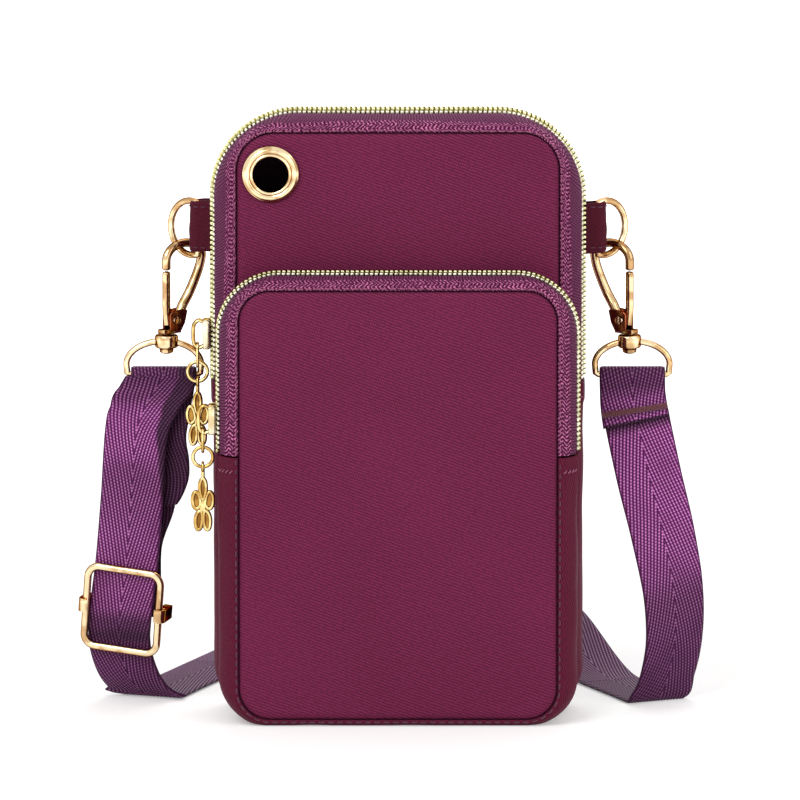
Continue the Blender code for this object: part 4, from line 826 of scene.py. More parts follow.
def front_y(x, z):
    return -BODY_HALF_DEPTH - FRONT_CROWN * swell(x, z, SEAM_HALF, SEAM_LOW, SEAM_TOP)


def back_y(x, z):
    return BODY_HALF_DEPTH + BACK_CROWN * swell(x, z, SEAM_HALF, SEAM_LOW, SEAM_TOP)


def pocket_y(x, z):
    low_edge = -BODY_HALF_DEPTH - POCKET_DEPTH
    return low_edge - POCKET_CROWN * swell(x, z, POCKET_SEAM_HALF, SEAM_LOW, POCKET_SEAM_TOP)


def pocket_rear_y(x, z):
    return front_y(x, z) - GAP


def valley(distance):
    """How far the cloth is drawn in at a seam."""
    return SEAM_VALLEY * max(0.0, 1 - distance / SEAM_REACH) ** 2


# Painted shade in a seam's groove: full at the seam, fading within about SEAM_SHADE.
def seam_shade(distance):
    return math.exp(-(distance / SEAM_SHADE) ** 2)


class Outline:
    """A panel's edge: an upright rectangle with round corners, larger ones at the top."""

    def __init__(self, half, low, top, low_radius, top_radius):
        self.half, self.low, self.top = half, low, top
        self.low_radius, self.top_radius = low_radius, top_radius

    def half_width(self, z):
        radius, rise = self.low_radius, self.low + self.low_radius - z
        if rise < 0:
            radius, rise = self.top_radius, z - (self.top - self.top_radius)
        if rise <= 0:
            return self.half
        return self.half - radius + math.sqrt(max(0.0, radius ** 2 - rise ** 2))

    def inside(self, x, z):
        """How far inside the edge a place lies."""
        middle = (self.low + self.top) / 2
        radius = self.top_radius if z > middle else self.low_radius
        across = abs(x) - (self.half - radius)
        along = abs(z - middle) - ((self.top - self.low) / 2 - radius)
        out = math.hypot(max(across, 0.0), max(along, 0.0)) + min(max(across, along), 0.0)
        return radius - out

    def rows(self, start, end):
        """Heights from start to end, denser round the corners and at the far edges."""
        low, high = self.low + self.low_radius, self.top - self.top_radius
        heights = {start, end, *spread(low, high, max(2, round((high - low) / ROW_STEP)))}
        for radius, centre, turn in ((self.low_radius, low, -1), (self.top_radius, high, 1)):
            for k in range(19):
                heights.add(centre + turn * radius * math.sin(math.pi / 2 * k / 18))
        kept = sorted(z for z in heights if start - SAME_ROW <= z <= end + SAME_ROW)
        return [z for i, z in enumerate(kept) if i == 0 or z - kept[i - 1] > SAME_ROW]


def panel(outline, depth, start, end, turn, thickness, shift=0.0, seamed=True, hole=None):
    """A crowned panel as a fine closed sheet; turn is 1 where inward is +Y and -1 where it is -Y."""
    cloth, outer, inner = Cloth(), [], []
    columns, wrinkle, tuck = (44, WRINKLE, TUCK) if seamed else (30, 0.0, 0.0)
    rows = outline.rows(start, end)
    if seamed and start == outline.low:
        rows.insert(0, start - tuck)
    if seamed and end == outline.top:
        rows.append(end + tuck)
    for z in rows:
        half = outline.half_width(min(max(z, outline.low), outline.top))
        left = [-half + offset for offset in EDGE_OFFSETS]
        inner_half = half - EDGE_OFFSETS[-1]
        xs = left[:-1] + spread(-inner_half, inner_half, columns) + [-x for x in reversed(left[:-1])]
        if seamed:
            xs = [-half - tuck] + xs + [half + tuck]
        outer_row, inner_row = [], []
        for k, x in enumerate(xs):
            tucked = seamed and (k in (0, len(xs) - 1) or not outline.low <= z <= outline.top)
            near = max(0.0, outline.inside(x, z))
            y = depth(x, z) + turn * (shift + (TUCK_DEPTH if tucked else 0.0))
            fade = min(1.0, near / (9 * MM))
            y += turn * ripple(x, turn * 3 * MM, z, WRINKLE_SIZE, wrinkle) * fade
            y += turn * ripple(x, 0, z, WRINKLE_SIZE / 3, wrinkle / 4) * fade
            if seamed:
                y += turn * valley(near)
                y += turn * ripple(x, 0, z, PUCKER_SIZE, PUCKER) * math.exp(-near / (2.6 * MM))
            px, pz = pull_to_hole(x, z, hole)
            outer_row.append(Vector((px, y, pz)))
            inner_row.append(Vector((px, y + turn * thickness, pz)))
            cloth.note(px, pz, seam_shade(near) if seamed else 0.0)
        outer.append(outer_row)
        inner.append(inner_row)
    return grid_shell(outer, inner, cloth, hole_cells(outer, hole) if hole else ())


def pull_to_hole(x, z, hole):
    """Moves a place that lies close to the hole's edge onto it."""
    if hole is None:
        return x, z
    cx, cz, radius = hole
    away = math.hypot(x - cx, z - cz)
    if abs(away - radius) > 0.8 * MM:
        return x, z
    return cx + (x - cx) * radius / away, cz + (z - cz) * radius / away


def hole_cells(grid, hole):
    """The cells of a panel's grid that lie in its hole."""
    cx, cz, radius = hole
    cells = set()
    for r in range(len(grid) - 1):
        for c in range(len(grid[0]) - 1):
            corners = (grid[r][c], grid[r][c + 1], grid[r + 1][c], grid[r + 1][c + 1])
            if min(math.hypot(p.x - cx, p.z - cz) for p in corners) < radius - 0.05 * MM:
                cells.add((r, c))
    return cells


def band(front, crest, rear, angles, bend):
    """A curved strip from a front seam over a crest to a rear seam, as in the part's source.

    bend(place, across, total) says how far a point moves outwards, from its way across the strip.
    """
    cloth, outer, inner = Cloth(), [], []
    crest_outline, crest_y = crest
    from_front, to_rear = angles[0] == 0, angles[-1] == math.pi
    along = 0.0
    for i, (cx, cz) in enumerate(crest_outline):
        if i > 0:
            before, after = (Vector(front[0][k]).lerp(Vector(crest_outline[k]), 0.3) for k in (i - 1, i))
            along += (after - before).length
        places, normals = [], []
        for angle in angles:
            outline, depth = front if angle <= math.pi / 2 else rear
            sx, sz = outline[i]
            deep = depth(sx, sz) - crest_y
            lift, lean = math.sin(angle), abs(math.cos(angle))
            dx, dz = cx - sx, cz - sz
            places.append(Vector((sx + dx * lift, crest_y + deep * lean, sz + dz * lift)))
            steep = lift / (dx * dx + dz * dz)
            normals.append(Vector((dx * steep, lean / deep, dz * steep)).normalized())
        outer_row, inner_row = [], []
        marks = marks_along(places)
        for place, normal, across in zip(places, normals, marks):
            far = marks[-1] - across if to_rear else math.inf
            reach = min(across, far) if from_front else far
            point = place + normal * (bend(place, across, marks[-1]) - valley(reach))
            under = point - normal * TAPE
            point.z, under.z = max(point.z, 0.0), max(under.z, TAPE)
            outer_row.append(point)
            inner_row.append(under)
            cloth.note(along, across if from_front else far, seam_shade(reach))
        outer.append(outer_row)
        inner.append(inner_row)
    return grid_shell(outer, inner, cloth)


def tooth_row(outline, crest_y, side, step, high):
    """One row of separate zip teeth along the crest; side is -1 in front and 1 behind."""
    section = [(-0.5, -0.5), (0.5, -0.5), (0.5, 0.2), (0.34, 0.5), (-0.34, 0.5), (-0.5, 0.2)]
    tooth, faces = bevelled(prism(section, Matrix.Identity(4), -0.5, 0.5), 0.13, 2)
    line = [Vector((x, crest_y, z)) for x, z in outline]
    pieces = []
    goal, passed = (0.25 if side > 0 else 0.75) * TOOTH_PITCH, 0.0
    for a, b in zip(line, line[1:]):
        length = (b - a).length
        if length == 0:
            continue
        travel = (b - a) / length
        outward = Vector((-travel.z, 0, travel.x))
        lean = (INWARD * side + travel * TOOTH_LEAN).normalized()
        while goal <= passed + length:
            centre = a + travel * (goal - passed) + INWARD * (side * (TOOTH_ROW + GAP) / 2)
            centre += outward * (TOOTH_OUT - high / 2 + side * step)
            moved = [centre + travel * (v.x * TOOTH_PITCH * 0.66) + lean * (v.y * TOOTH_LENGTH)
                     + outward * (v.z * high) for v in tooth]
            pieces.append((moved, faces))
            goal += TOOTH_PITCH
        passed += length
    return merge(*pieces)


def stitch_row(line, pitch=STITCH_PITCH, length=STITCH_LENGTH, radius=STITCH_RADIUS, turn=0.0):
    """Short sewn stitches along a line of (place, normal) pairs; turn leans them across it."""
    places = [pair[0] for pair in line]
    marks = marks_along(places)
    pieces = []
    goal, i = pitch / 2, 0
    while goal < marks[-1]:
        while marks[i + 1] < goal:
            i += 1
        share = (goal - marks[i]) / (marks[i + 1] - marks[i])
        place = places[i].lerp(places[i + 1], share)
        normal = line[i][1].lerp(line[i + 1][1], share).normalized()
        travel = (places[i + 1] - places[i]).normalized()
        if turn:
            travel = (Matrix.Rotation(turn, 3, normal) @ travel).normalized()
        pieces.append(stitch(place, travel, normal, length, radius))
        goal += pitch
    return merge(*pieces)


def stitch(place, travel, normal, length, radius):
    """One stitch: a small bow of thread that dips into the cloth at both ends."""
    shares = spread(-1, 1, 5)
    path = [place + travel * (length / 2 * s) + normal * (radius * (0.9 - 1.5 * s ** 2)) for s in shares]
    radii = [radius * (1 - 0.3 * s ** 2) for s in shares]
    return tube(path, travel.cross(normal).normalized(), radii, closed=False, sides=6, round_ends=False)


def sew(name, seam, depth, crest, crest_y, look, carrier):
    """Stitches on the band's side of a seam."""
    line = []
    for (sx, sz), (cx, cz) in zip(seam, crest):
        dx, dz = cx - sx, cz - sz
        lift = min(1.0, STITCH_OFFSET / math.hypot(dx, dz))
        deep = depth(sx, sz) - crest_y
        place = Vector((sx + dx * lift, crest_y + deep * math.sqrt(1 - lift ** 2), sz + dz * lift))
        normal = Vector((0, math.copysign(1, deep), 0))
        line.append((place + normal * (STITCH_RISE - valley(STITCH_OFFSET)), normal))
    add_piece(name, stitch_row(line), look, carrier)


def sew_hem(name, front, crest, rear, z, carrier):
    """Level rows of slanted stitches on a gusset's two sides, from its front seam to its rear one."""
    rows = []
    crest_half, crest_y = crest
    for side in SIDES:
        line = []
        for k in range(3, 38):
            angle = math.pi * k / 40
            half, depth = front if k <= 20 else rear
            across, deep = crest_half - half, depth(side * half, z) - crest_y
            lift, lean = math.sin(angle), abs(math.cos(angle))
            place = Vector((side * (half + across * lift), crest_y + deep * lean, z))
            normal = Vector((side * lift / across, lean / deep, 0)).normalized()
            line.append((place + normal * (0.4 * MM - valley(abs(deep) * (1 - lift))), normal))
        rows.append(stitch_row(line, 1.5 * MM, 1.3 * MM, 0.2 * MM, 0.7))
    add_piece(name, merge(*rows), "thread_pink", carrier)


# ---------------------------------------------------------------- main compartment
BODY_OUTLINE = Outline(SEAM_HALF - GAP / 2, SEAM_LOW + GAP / 2, SEAM_TOP - GAP / 2, SEAM_LOW_RADIUS,
                       SEAM_TOP_RADIUS)
POCKET_OUTLINE = Outline(POCKET_SEAM_HALF - GAP / 2, SEAM_LOW + GAP / 2, POCKET_SEAM_TOP - GAP / 2,
                         SEAM_LOW_RADIUS, POCKET_SEAM_TOP_RADIUS)
LINING_OUTLINE = Outline(SEAM_HALF - FOAM_INSET, SEAM_LOW + FOAM_INSET, SEAM_TOP - FOAM_INSET,
                         SEAM_LOW_RADIUS, SEAM_TOP_RADIUS)
POCKET_LINING = Outline(POCKET_SEAM_HALF - FOAM_INSET, SEAM_LOW + FOAM_INSET, POCKET_SEAM_TOP,
                        SEAM_LOW_RADIUS, POCKET_SEAM_TOP_RADIUS)
HOLE = (EYELET_X, EYELET_Z, EYELET_BORE + EYELET_WALL + GAP)
GUSSET_ANGLES = [math.pi * (0.5 - 0.5 * math.cos(math.pi * k / 34)) for k in range(35)]


def gusset_bend(end):
    """Soft upright folds below the zip's end, a thicker hem at the end and an uneven run elsewhere."""

    def bend(place, across, total):
        below = end - place.z
        fold_fade = math.exp(-max(0.0, below - 3 * MM) / (26 * MM))
        middle = math.sin(math.pi * min(1.0, across / total))
        folds = math.sin(across / total * math.tau * 3.5 + 0.6) * 0.42 * MM * fold_fade * middle
        hem = 0.35 * MM * min(1.0, max(0.0, 1 - (below - 6 * MM) / MM))
        return folds + hem * middle ** 0.3 + ripple(place.x, place.y, place.z, 14 * MM, 0.5 * MM) * middle

    return bend


def tape_bend(rear, depth):
    """The tape cups a little between the seam and the teeth, and dips where it holds the teeth."""

    def bend(place, across, total):
        middle = math.sin(math.pi * min(1.0, across / total))
        to_teeth = across if rear else total - across
        dip = depth * max(0.0, 1 - to_teeth / TAPE_DIP_REACH) ** 1.5
        return middle * (ripple(place.x, place.y, place.z, 9 * MM, 0.3 * MM) - 0.1 * MM) - dip

    return bend


def add_zip(piece, node, sides, rows, count, dip, tooth_height):
    """A zip's tapes and teeth; rows says each one's name, carrier, half depth and step, front first."""
    for side, (end, carrier, half_depth, _) in zip(SIDES, rows):
        reach = math.acos((TOOTH_ROW + TAPE_CLEARANCE) / half_depth)
        angles = spread(0, reach, count) if side < 0 else spread(math.pi - reach, math.pi, count)
        add_piece(f"{piece}_tape_{end}", band(*sides, angles, tape_bend(side > 0, dip)), "tape", carrier,
                  f"{node}_tape_{end}")
    # The front row takes the paler copy, painted lit; the rear row the teeth's gold.
    for side, look, (end, carrier, _, step) in zip(SIDES, ("teeth_pale", "teeth_gold"), rows):
        add_piece(f"{piece}_teeth_{end}", tooth_row(*sides[1], side, step, tooth_height), look, carrier,
                  f"{node}_teeth_{end}")


def build_body():
    """The main compartment's panels, gusset, tapes, teeth and linings."""
    low, top = BODY_OUTLINE.low, BODY_OUTLINE.top
    add_piece("front_panel", panel(BODY_OUTLINE, front_y, low, top, 1, FABRIC, hole=HOLE), "nylon",
              MAIN_FIELD, "front_panel_upper front_panel_lower")
    back = add_piece("padded_back", panel(BODY_OUTLINE, back_y, low, top, -1, FABRIC + GAP + FOAM), "nylon",
                     "root", "back_panel back_foam")
    low, top = LINING_OUTLINE.low, LINING_OUTLINE.top
    shape = panel(LINING_OUTLINE, front_y, FOLD_Z + GAP, top, 1, LINING, FABRIC + GAP, False, HOLE)
    add_piece("lining_front", shape, "lining", "front_flap", "front_lining")
    shape = panel(LINING_OUTLINE, back_y, low, top, -1, LINING, FABRIC + 2 * GAP + FOAM, False)
    add_piece("lining_back", shape, "lining", "root", "back_lining")

    seam = arch(SEAM_HALF, MAIN_ZIP_END, SEAM_LOW, SEAM_LOW_RADIUS, 70, 16, 70)
    crest = arch(CREST_HALF, MAIN_ZIP_END, CREST_LOW, CREST_LOW_RADIUS, 70, 16, 70)
    add_piece("side_gusset", band((seam, front_y), (crest, 0.0), (seam, back_y), GUSSET_ANGLES,
                                  gusset_bend(MAIN_ZIP_END)), "gusset", MAIN_FIELD, "body_gusset")

    end = MAIN_ZIP_END + 2 * GAP
    seam = arch(SEAM_HALF, end, SEAM_TOP, SEAM_TOP_RADIUS, 52, 36, 56)
    crest = arch(CREST_HALF, end, CREST_TOP - TOOTH_OUT, CREST_TOP_RADIUS, 52, 36, 56)
    add_zip("zip", "main", ((seam, front_y), (crest, 0.0), (seam, back_y)),
            (("front", MAIN_FIELD, BODY_HALF_DEPTH, MAIN_FRONT_STEP),
             ("back", "root", BODY_HALF_DEPTH, MAIN_REAR_STEP)), 24, MAIN_TAPE_DIP, MAIN_TOOTH_HEIGHT)
    sew("stitches_front_upper", seam, front_y, crest, 0.0, "thread_pink", MAIN_FIELD)
    sew("stitches_back_upper", seam, back_y, crest, 0.0, "thread_pink", "root")
    seam = arch(SEAM_HALF, MAIN_ZIP_END, SEAM_LOW, SEAM_LOW_RADIUS)
    crest = arch(CREST_HALF, MAIN_ZIP_END, CREST_LOW, CREST_LOW_RADIUS)
    sew("stitches_back_lower", seam, back_y, crest, 0.0, "thread_dark", "root")
    sew("stitches_front_lower", seam, front_y, crest, 0.0, "thread_dark", MAIN_FIELD)
    sew_hem("stitches_main_hem", (SEAM_HALF, front_y), (CREST_HALF, 0.0), (SEAM_HALF, back_y),
            MAIN_ZIP_END - HEM, "root")


# ---------------------------------------------------------------- front pocket
def build_pocket():
    """The pocket's front in two pieces that meet on the fold, its gusset, tapes, teeth and lining."""
    add_piece("pocket_front_upper", panel(POCKET_OUTLINE, pocket_y, FOLD_Z, POCKET_OUTLINE.top, 1, FABRIC),
              "nylon", "pocket_flap", "pocket_panel_upper")
    add_piece("pocket_front_lower", panel(POCKET_OUTLINE, pocket_y, POCKET_OUTLINE.low, FOLD_Z, 1, FABRIC),
              "nylon", POCKET_FIELD, "pocket_panel_lower")
    shape = panel(POCKET_LINING, pocket_y, POCKET_LINING.low, FOLD_Z - GAP, 1, LINING, FABRIC + GAP, False)
    add_piece("pocket_inner", shape, "lining", POCKET_FIELD, "pocket_lining")

    end = POCKET_ZIP_END - GAP
    front, rear = (arch(half, end, SEAM_LOW, SEAM_LOW_RADIUS, 60, 16, 70)
                   for half in (POCKET_SEAM_HALF, SEAM_HALF))
    crest = arch(POCKET_CREST_HALF, end, CREST_LOW, CREST_LOW_RADIUS, 60, 16, 70)
    shape = band((front, pocket_y), (crest, POCKET_CREST_Y), (rear, pocket_rear_y), GUSSET_ANGLES,
                 gusset_bend(end))
    add_piece("pocket_side_gusset", shape, "gusset", POCKET_FIELD, "pocket_gusset")
    sew("stitches_pocket_lower", front, pocket_y, crest, POCKET_CREST_Y, "thread_dark", POCKET_FIELD)
    sew_hem("stitches_pocket_hem", (POCKET_SEAM_HALF, pocket_y), (POCKET_CREST_HALF, POCKET_CREST_Y),
            (SEAM_HALF, pocket_rear_y), end - HEM, "front_flap")

    end = POCKET_ZIP_END + GAP
    front, rear = (arch(half, end, POCKET_SEAM_TOP, POCKET_SEAM_TOP_RADIUS, 36, 26, 60)
                   for half in (POCKET_SEAM_HALF, SEAM_HALF))
    crest = arch(POCKET_CREST_HALF, end, POCKET_CREST_TOP, POCKET_CREST_TOP_RADIUS, 36, 26, 60)
    add_zip("pocket_zip", "pocket", ((front, pocket_y), (crest, POCKET_CREST_Y), (rear, pocket_rear_y)),
            (("front", POCKET_ZIP_FIELD, POCKET_DEPTH / 2, POCKET_ROW_STEP),
             ("rear", "front_flap", POCKET_DEPTH / 2 - FRONT_CROWN, POCKET_ROW_STEP)),
            22, POCKET_TAPE_DIP, POCKET_TOOTH_HEIGHT)
    sew("stitches_pocket_upper", front, pocket_y, crest, POCKET_CREST_Y, "thread_pink", "pocket_flap")


# ---------------------------------------------------------------- eyelet
def build_eyelet():
    """The eyelet's crowned flange with its rolled lip, its barrel, and the washer behind the lining."""
    base = Vector((EYELET_X, front_y(EYELET_X, EYELET_Z), EYELET_Z))
    seat = FABRIC + GAP + LINING + 2 * GAP
    bore, rim, edge = EYELET_BORE, EYELET_RADIUS, EYELET_EDGE
    wall, lip = bore + EYELET_WALL, -GAP - GAP
    crown = lip - EYELET_RIM
    middle = (bore + rim) / 2
    profile = [
        (bore, crown + 0.15 * MM), (bore + 0.12 * MM, crown - 0.15 * MM),
        (bore + 0.4 * MM, crown - 0.28 * MM), (bore + 0.75 * MM, crown - 0.2 * MM),
        (bore + 0.95 * MM, crown + 0.12 * MM), (bore + 1.1 * MM, crown + 0.02 * MM),
        (middle + 0.1 * MM, crown - edge * 0.7), (middle + 0.6 * MM, crown - edge * 0.55),
        (rim - 0.7 * MM, crown + 0.12 * MM), (rim - 0.25 * MM, lip - edge * 1.1),
        (rim, lip - edge * 0.5), (rim, lip), (wall, lip), (wall, seat), (bore, seat),
    ]
    add_piece("eyelet_ring", turned(profile, base, INWARD, 80), "gold", "front_flap", "eyelet", sharp=50)
    bore, back, edge = wall + GAP, seat + EYELET_WALL, 0.12 * MM
    washer = [(bore, seat), (rim - edge, seat), (rim, seat + edge), (rim, back - edge), (rim - edge, back),
              (bore, back)]
    add_piece("eyelet_back_ring", turned(washer, base, INWARD, 64), "gold", "front_flap", "eyelet_washer")


# ---------------------------------------------------------------- zip pulls
def slider_shape(crest_half, crest_y, z):
    """The slider outside the teeth, tapered towards the closed end, with flanges and the bridge."""
    inner = -(crest_half + TOOTH_OUT + GAP)
    outer = inner - 2 * SLIDER_PLATE
    low, high = z - SLIDER_LENGTH / 2, z + SLIDER_LENGTH / 2
    wide, narrow = SLIDER_HALF_WIDTH, SLIDER_HALF_WIDTH - SLIDER_TAPER
    round_off = 0.9 * MM
    half = [(wide - round_off, high), (wide, high - round_off), (wide, z), (narrow, low + round_off / 2),
            (narrow - round_off / 2, low)]
    outline = [(-wide + round_off, high)] + half + [(-u, w) for u, w in reversed(half[1:])]
    axes = local_frame(Vector((0, crest_y, 0)), INWARD)
    plate = bevelled(prism(outline, axes, -inner, -outer), 0.45 * MM)
    start = TOOTH_ROW + 2 * GAP
    flange = [(start, low), (wide, low), (wide, high), (start, high)]
    wing = bevelled(prism(flange, axes, crest_half - 2.5 * GAP, -outer - SLIDER_PLATE / 2), 0.15 * MM)
    root = outer + SLIDER_PLATE / 2
    reach = -(crest_half + CHAIN_OUT) - BRIDGE_REACH
    bend = BRIDGE_REACH / 2
    corners = [(root, BRIDGE_HALF - bend), ((root + reach) / 2, BRIDGE_HALF),
               (reach + bend, BRIDGE_HALF - bend), (reach, BRIDGE_HALF / 2)]
    corners += [(x, -w) for x, w in reversed(corners)]
    path = smooth_path([Vector((x, crest_y, z + w)) for x, w in corners], 6)
    bridge = tube(path, INWARD, BRIDGE_WIRE * 1.2, closed=False, flat=BRIDGE_WIRE * 2)
    return merge(plate, wing), bridge


def charm_shape(axes):
    """A plain flower of open wire petals round a domed middle, drawn out tall."""
    wire_half = CHARM_THICKNESS / 2
    reach_u, reach_w = CHARM_HALF_WIDTH - wire_half * 0.7, CHARM_HALF_HEIGHT - wire_half
    deep = turn_to(axes, INWARD)
    shapes, plates = [], []
    for petal in range(CHARM_PETALS):
        toward = math.pi / 2 + math.tau * petal / CHARM_PETALS
        points = []
        for k in range(36):
            turn = math.tau * k / 36
            radius = 0.62 + 0.38 * math.cos(turn)
            angle = toward + 0.47 * math.sin(turn) * (1 - 0.22 * math.cos(turn))
            points.append((reach_u * (radius * math.cos(angle)), reach_w * (radius * math.sin(angle))))
        path = put(axes, points)
        shapes.append(tube(path, deep, wire_half * 0.88, flat=wire_half, sides=12))
        plates.append(loop_solid([[p + deep * (wire_half * side) for p in path] for side in (-0.35, 0.35)],
                                 closed=False))
    dome = [(0.3 * math.cos(math.pi / 2 * k / 5), math.sin(math.pi / 2 * k / 5)) for k in range(5)]
    rings = []
    for side in SIDES:
        for share, height in (dome if side > 0 else reversed(dome)):
            rings.append(put(axes, ellipse(reach_u * share * 1.3, reach_w * share, 24),
                             side * height * wire_half))
    shapes.append(loop_solid(rings, closed=False))
    return merge(*shapes), merge(*plates)


def build_zip_pull(label, crest_half, crest_y, z):
    """A slider with its link, jump ring and charm, each hanging in the one above."""
    body, bridge = slider_shape(crest_half, crest_y, z)
    # The slider body's pale gold is a painted highlight.
    add_piece(f"{label}_pull_slider", body, "gold_slider_highlight", f"{label}_slider", f"{label}_slider")
    add_piece(f"{label}_pull_bridge", bridge, "yellow", f"{label}_slider")
    x = -(crest_half + CHAIN_OUT)
    link_top = z - BRIDGE_HALF + BRIDGE_WIRE + LINK_WIRE + GAP
    link_bottom = link_top - LINK_HEIGHT
    axes = local_frame(Vector((x, crest_y, (link_top + link_bottom) / 2)), INWARD)
    half, straight = LINK_HALF_WIDTH, LINK_HEIGHT / 2 - LINK_HALF_WIDTH
    points = arc((0, straight), (half, half), 0, math.pi, 12)
    points += arc((0, -straight), (half, half), math.pi, math.tau, 12)
    add_piece(f"{label}_pull_link", tube(put(axes, points), ACROSS, LINK_WIRE), "yellow", f"{label}_link",
              f"{label}_link")
    ring_top = link_bottom + LINK_WIRE + JUMP_WIRE + GAP
    axes = local_frame(Vector((x, crest_y, ring_top - JUMP_RADIUS)), ACROSS)
    path = put(axes, ellipse(JUMP_RADIUS, JUMP_RADIUS))
    add_piece(f"{label}_pull_ring", tube(path, INWARD, JUMP_WIRE), "yellow", f"{label}_jump_ring",
              f"{label}_jump_ring")
    eye_top = ring_top - 2 * JUMP_RADIUS + JUMP_WIRE + CHARM_EYE_WIRE + GAP
    axes = local_frame(Vector((x, crest_y, eye_top - CHARM_EYE_RADIUS)), INWARD)
    eye = tube(put(axes, ellipse(CHARM_EYE_RADIUS, CHARM_EYE_RADIUS, 28)), ACROSS, CHARM_EYE_WIRE)
    middle = eye_top - 2 * CHARM_EYE_RADIUS - CHARM_STEM - CHARM_HALF_HEIGHT
    axes = local_frame(Vector((x, crest_y, middle)), ACROSS)
    foot = axes @ Vector((0, 0, CHARM_HALF_HEIGHT - CHARM_STEM / 2))
    stem = [foot + UP * (k * CHARM_STEM) for k in range(3)]
    stem = tube(stem, INWARD, 1.4 * CHARM_EYE_WIRE, closed=False)
    petals, plates = charm_shape(axes)
    add_piece(f"{label}_pull_charm", merge(petals, eye, stem), "yellow", f"{label}_charm", f"{label}_charm")
    # The petal plates' darker gold is painted shade between the petals.
    add_piece(f"{label}_charm_plates", plates, "gold_petal_shade", f"{label}_charm")


# ---------------------------------------------------------------- tabs, D-rings, hooks, strap rings
def tape_skin(y):
    """Where the tab's middle line runs off the main back tape at depth y, as (distance out, y)."""
    lean = y / BODY_HALF_DEPTH
    lift = math.sqrt(1 - lean ** 2)
    across = CREST_HALF - SEAM_HALF
    normal = Vector((lift / across, lean / BODY_HALF_DEPTH)).normalized()
    stand = TAB_STAND + FABRIC / 2
    return SEAM_HALF + across * lift + normal.x * stand, y + normal.y * stand


def build_tab(side):
    """A folded fabric tab that holds the D-ring's straight bar; side is -1 left and 1 right."""
    turn = D_WIRE + GAP + FABRIC / 2
    path = [tape_skin(y) for y in spread(TAB_REAR_Y, TAB_Y + turn, 6)]
    path += arc((CREST_HALF + TAB_REACH, TAB_Y), (turn, turn), math.pi / 2, -math.pi / 2, 18)
    front_end = TOOTH_ROW + 2 * GAP + FABRIC / 2
    path.append((CREST_HALF + FABRIC, front_end + (TAB_Y - turn - front_end) / 2))
    path.append((CREST_HALF + GAP, front_end))
    stations = []
    for (x, y), (ax, ay), (bx, by) in zip(path, path[:1] + path, path[1:] + path[-1:]):
        normal = Vector((side * (by - ay), ax - bx, 0)).normalized()
        stations.append((Vector((side * x, y, TAB_Z + TAB_RISE)), UP * (TAB_HALF + TAB_RISE), normal))
    vertices, faces, cloth = strip_shell(stations, FABRIC, 0.5 * MM, 30, 0.0, 0.0)
    for place in vertices:
        out = min(1.0, max(0.0, (abs(place.x) - CREST_HALF - FABRIC) / (TAB_REACH / 2)))
        place.x += side * out * (ripple(0, 0, place.z, 5 * MM, 0.7 * MM))
        place.z += ripple(place.x, 3 * MM * side, 0, 6 * MM, 0.7 * MM) * abs(place.z - TAB_Z) / TAB_HALF
    add_piece(f"tab_cloth_{SIDES[side]}", (vertices, faces, cloth), "tab", "root", f"tab_{SIDES[side]}")
    for edge, share in (("upper", 0.8), ("lower", -0.8)):
        line = []
        for centre, half, normal in resample(stations, 0.5 * MM)[4:-2]:
            outward = normal if normal.dot(centre - Vector((0, centre.y, centre.z))) > 0 else -normal
            line.append((centre + half * share + outward * (FABRIC / 2), outward))
        add_piece(f"tab_stitches_{edge}_{SIDES[side]}", stitch_row(line, 2.2 * MM, 1.4 * MM, 0.16 * MM),
                  "thread_dark", "root")


def ring_outward(side):
    """The level direction in which a D-ring stands off its tab."""
    return Vector((side * math.cos(D_ANGLE), math.sin(D_ANGLE), 0))


def build_d_ring(side):
    """The D-ring: a straight bar in the tab and an elliptic bow."""
    outward = ring_outward(side)
    axes = local_frame(Vector((side * (CREST_HALF + TAB_REACH), TAB_Y, TAB_Z)), outward)
    reach = D_LEG + D_BOW
    centre = reach * 0.26
    end = math.acos(-centre / (reach - centre))
    bar = D_HALF * math.sin(end) - 0.45 * MM
    points = [(0, w) for w in spread(-bar, bar, 12)]
    points += arc((centre, 0), (reach - centre, D_HALF), end, -end, 40)
    add_piece(f"dee_{SIDES[side]}", tube(put(axes, points), outward.cross(UP), D_WIRE), "gold",
              f"d_ring_{SIDES[side]}", f"d_ring_{SIDES[side]}")


def spine_heading(side):
    """The level direction from a hook's gate to its spine."""
    return Vector((-side * math.cos(HOOK_ANGLE), math.sin(HOOK_ANGLE), 0))


def swivel_place(side):
    """Where the swivel's axis is, from the place on the D-ring that the hook grips."""
    grip = Vector((side * (CREST_HALF + TAB_REACH), TAB_Y, 0)) + ring_outward(side) * HOOK_GRIP
    return grip - spine_heading(side) * (HOOK_SPAN / 2)


# The height of the hook's base, which lets the D-ring's wire lie just under its crook
HOOK_BASE_Z = (TAB_Z - D_HALF * math.sqrt(1 - ((HOOK_GRIP - D_LEG) / D_BOW) ** 2)
               + D_WIRE + HOOK_CLEARANCE + HOOK_WIRE - HOOK_HEIGHT)
RING_BAR_Z = HOOK_BASE_Z - GAP - COLLAR_HALF - RING_HEIGHT


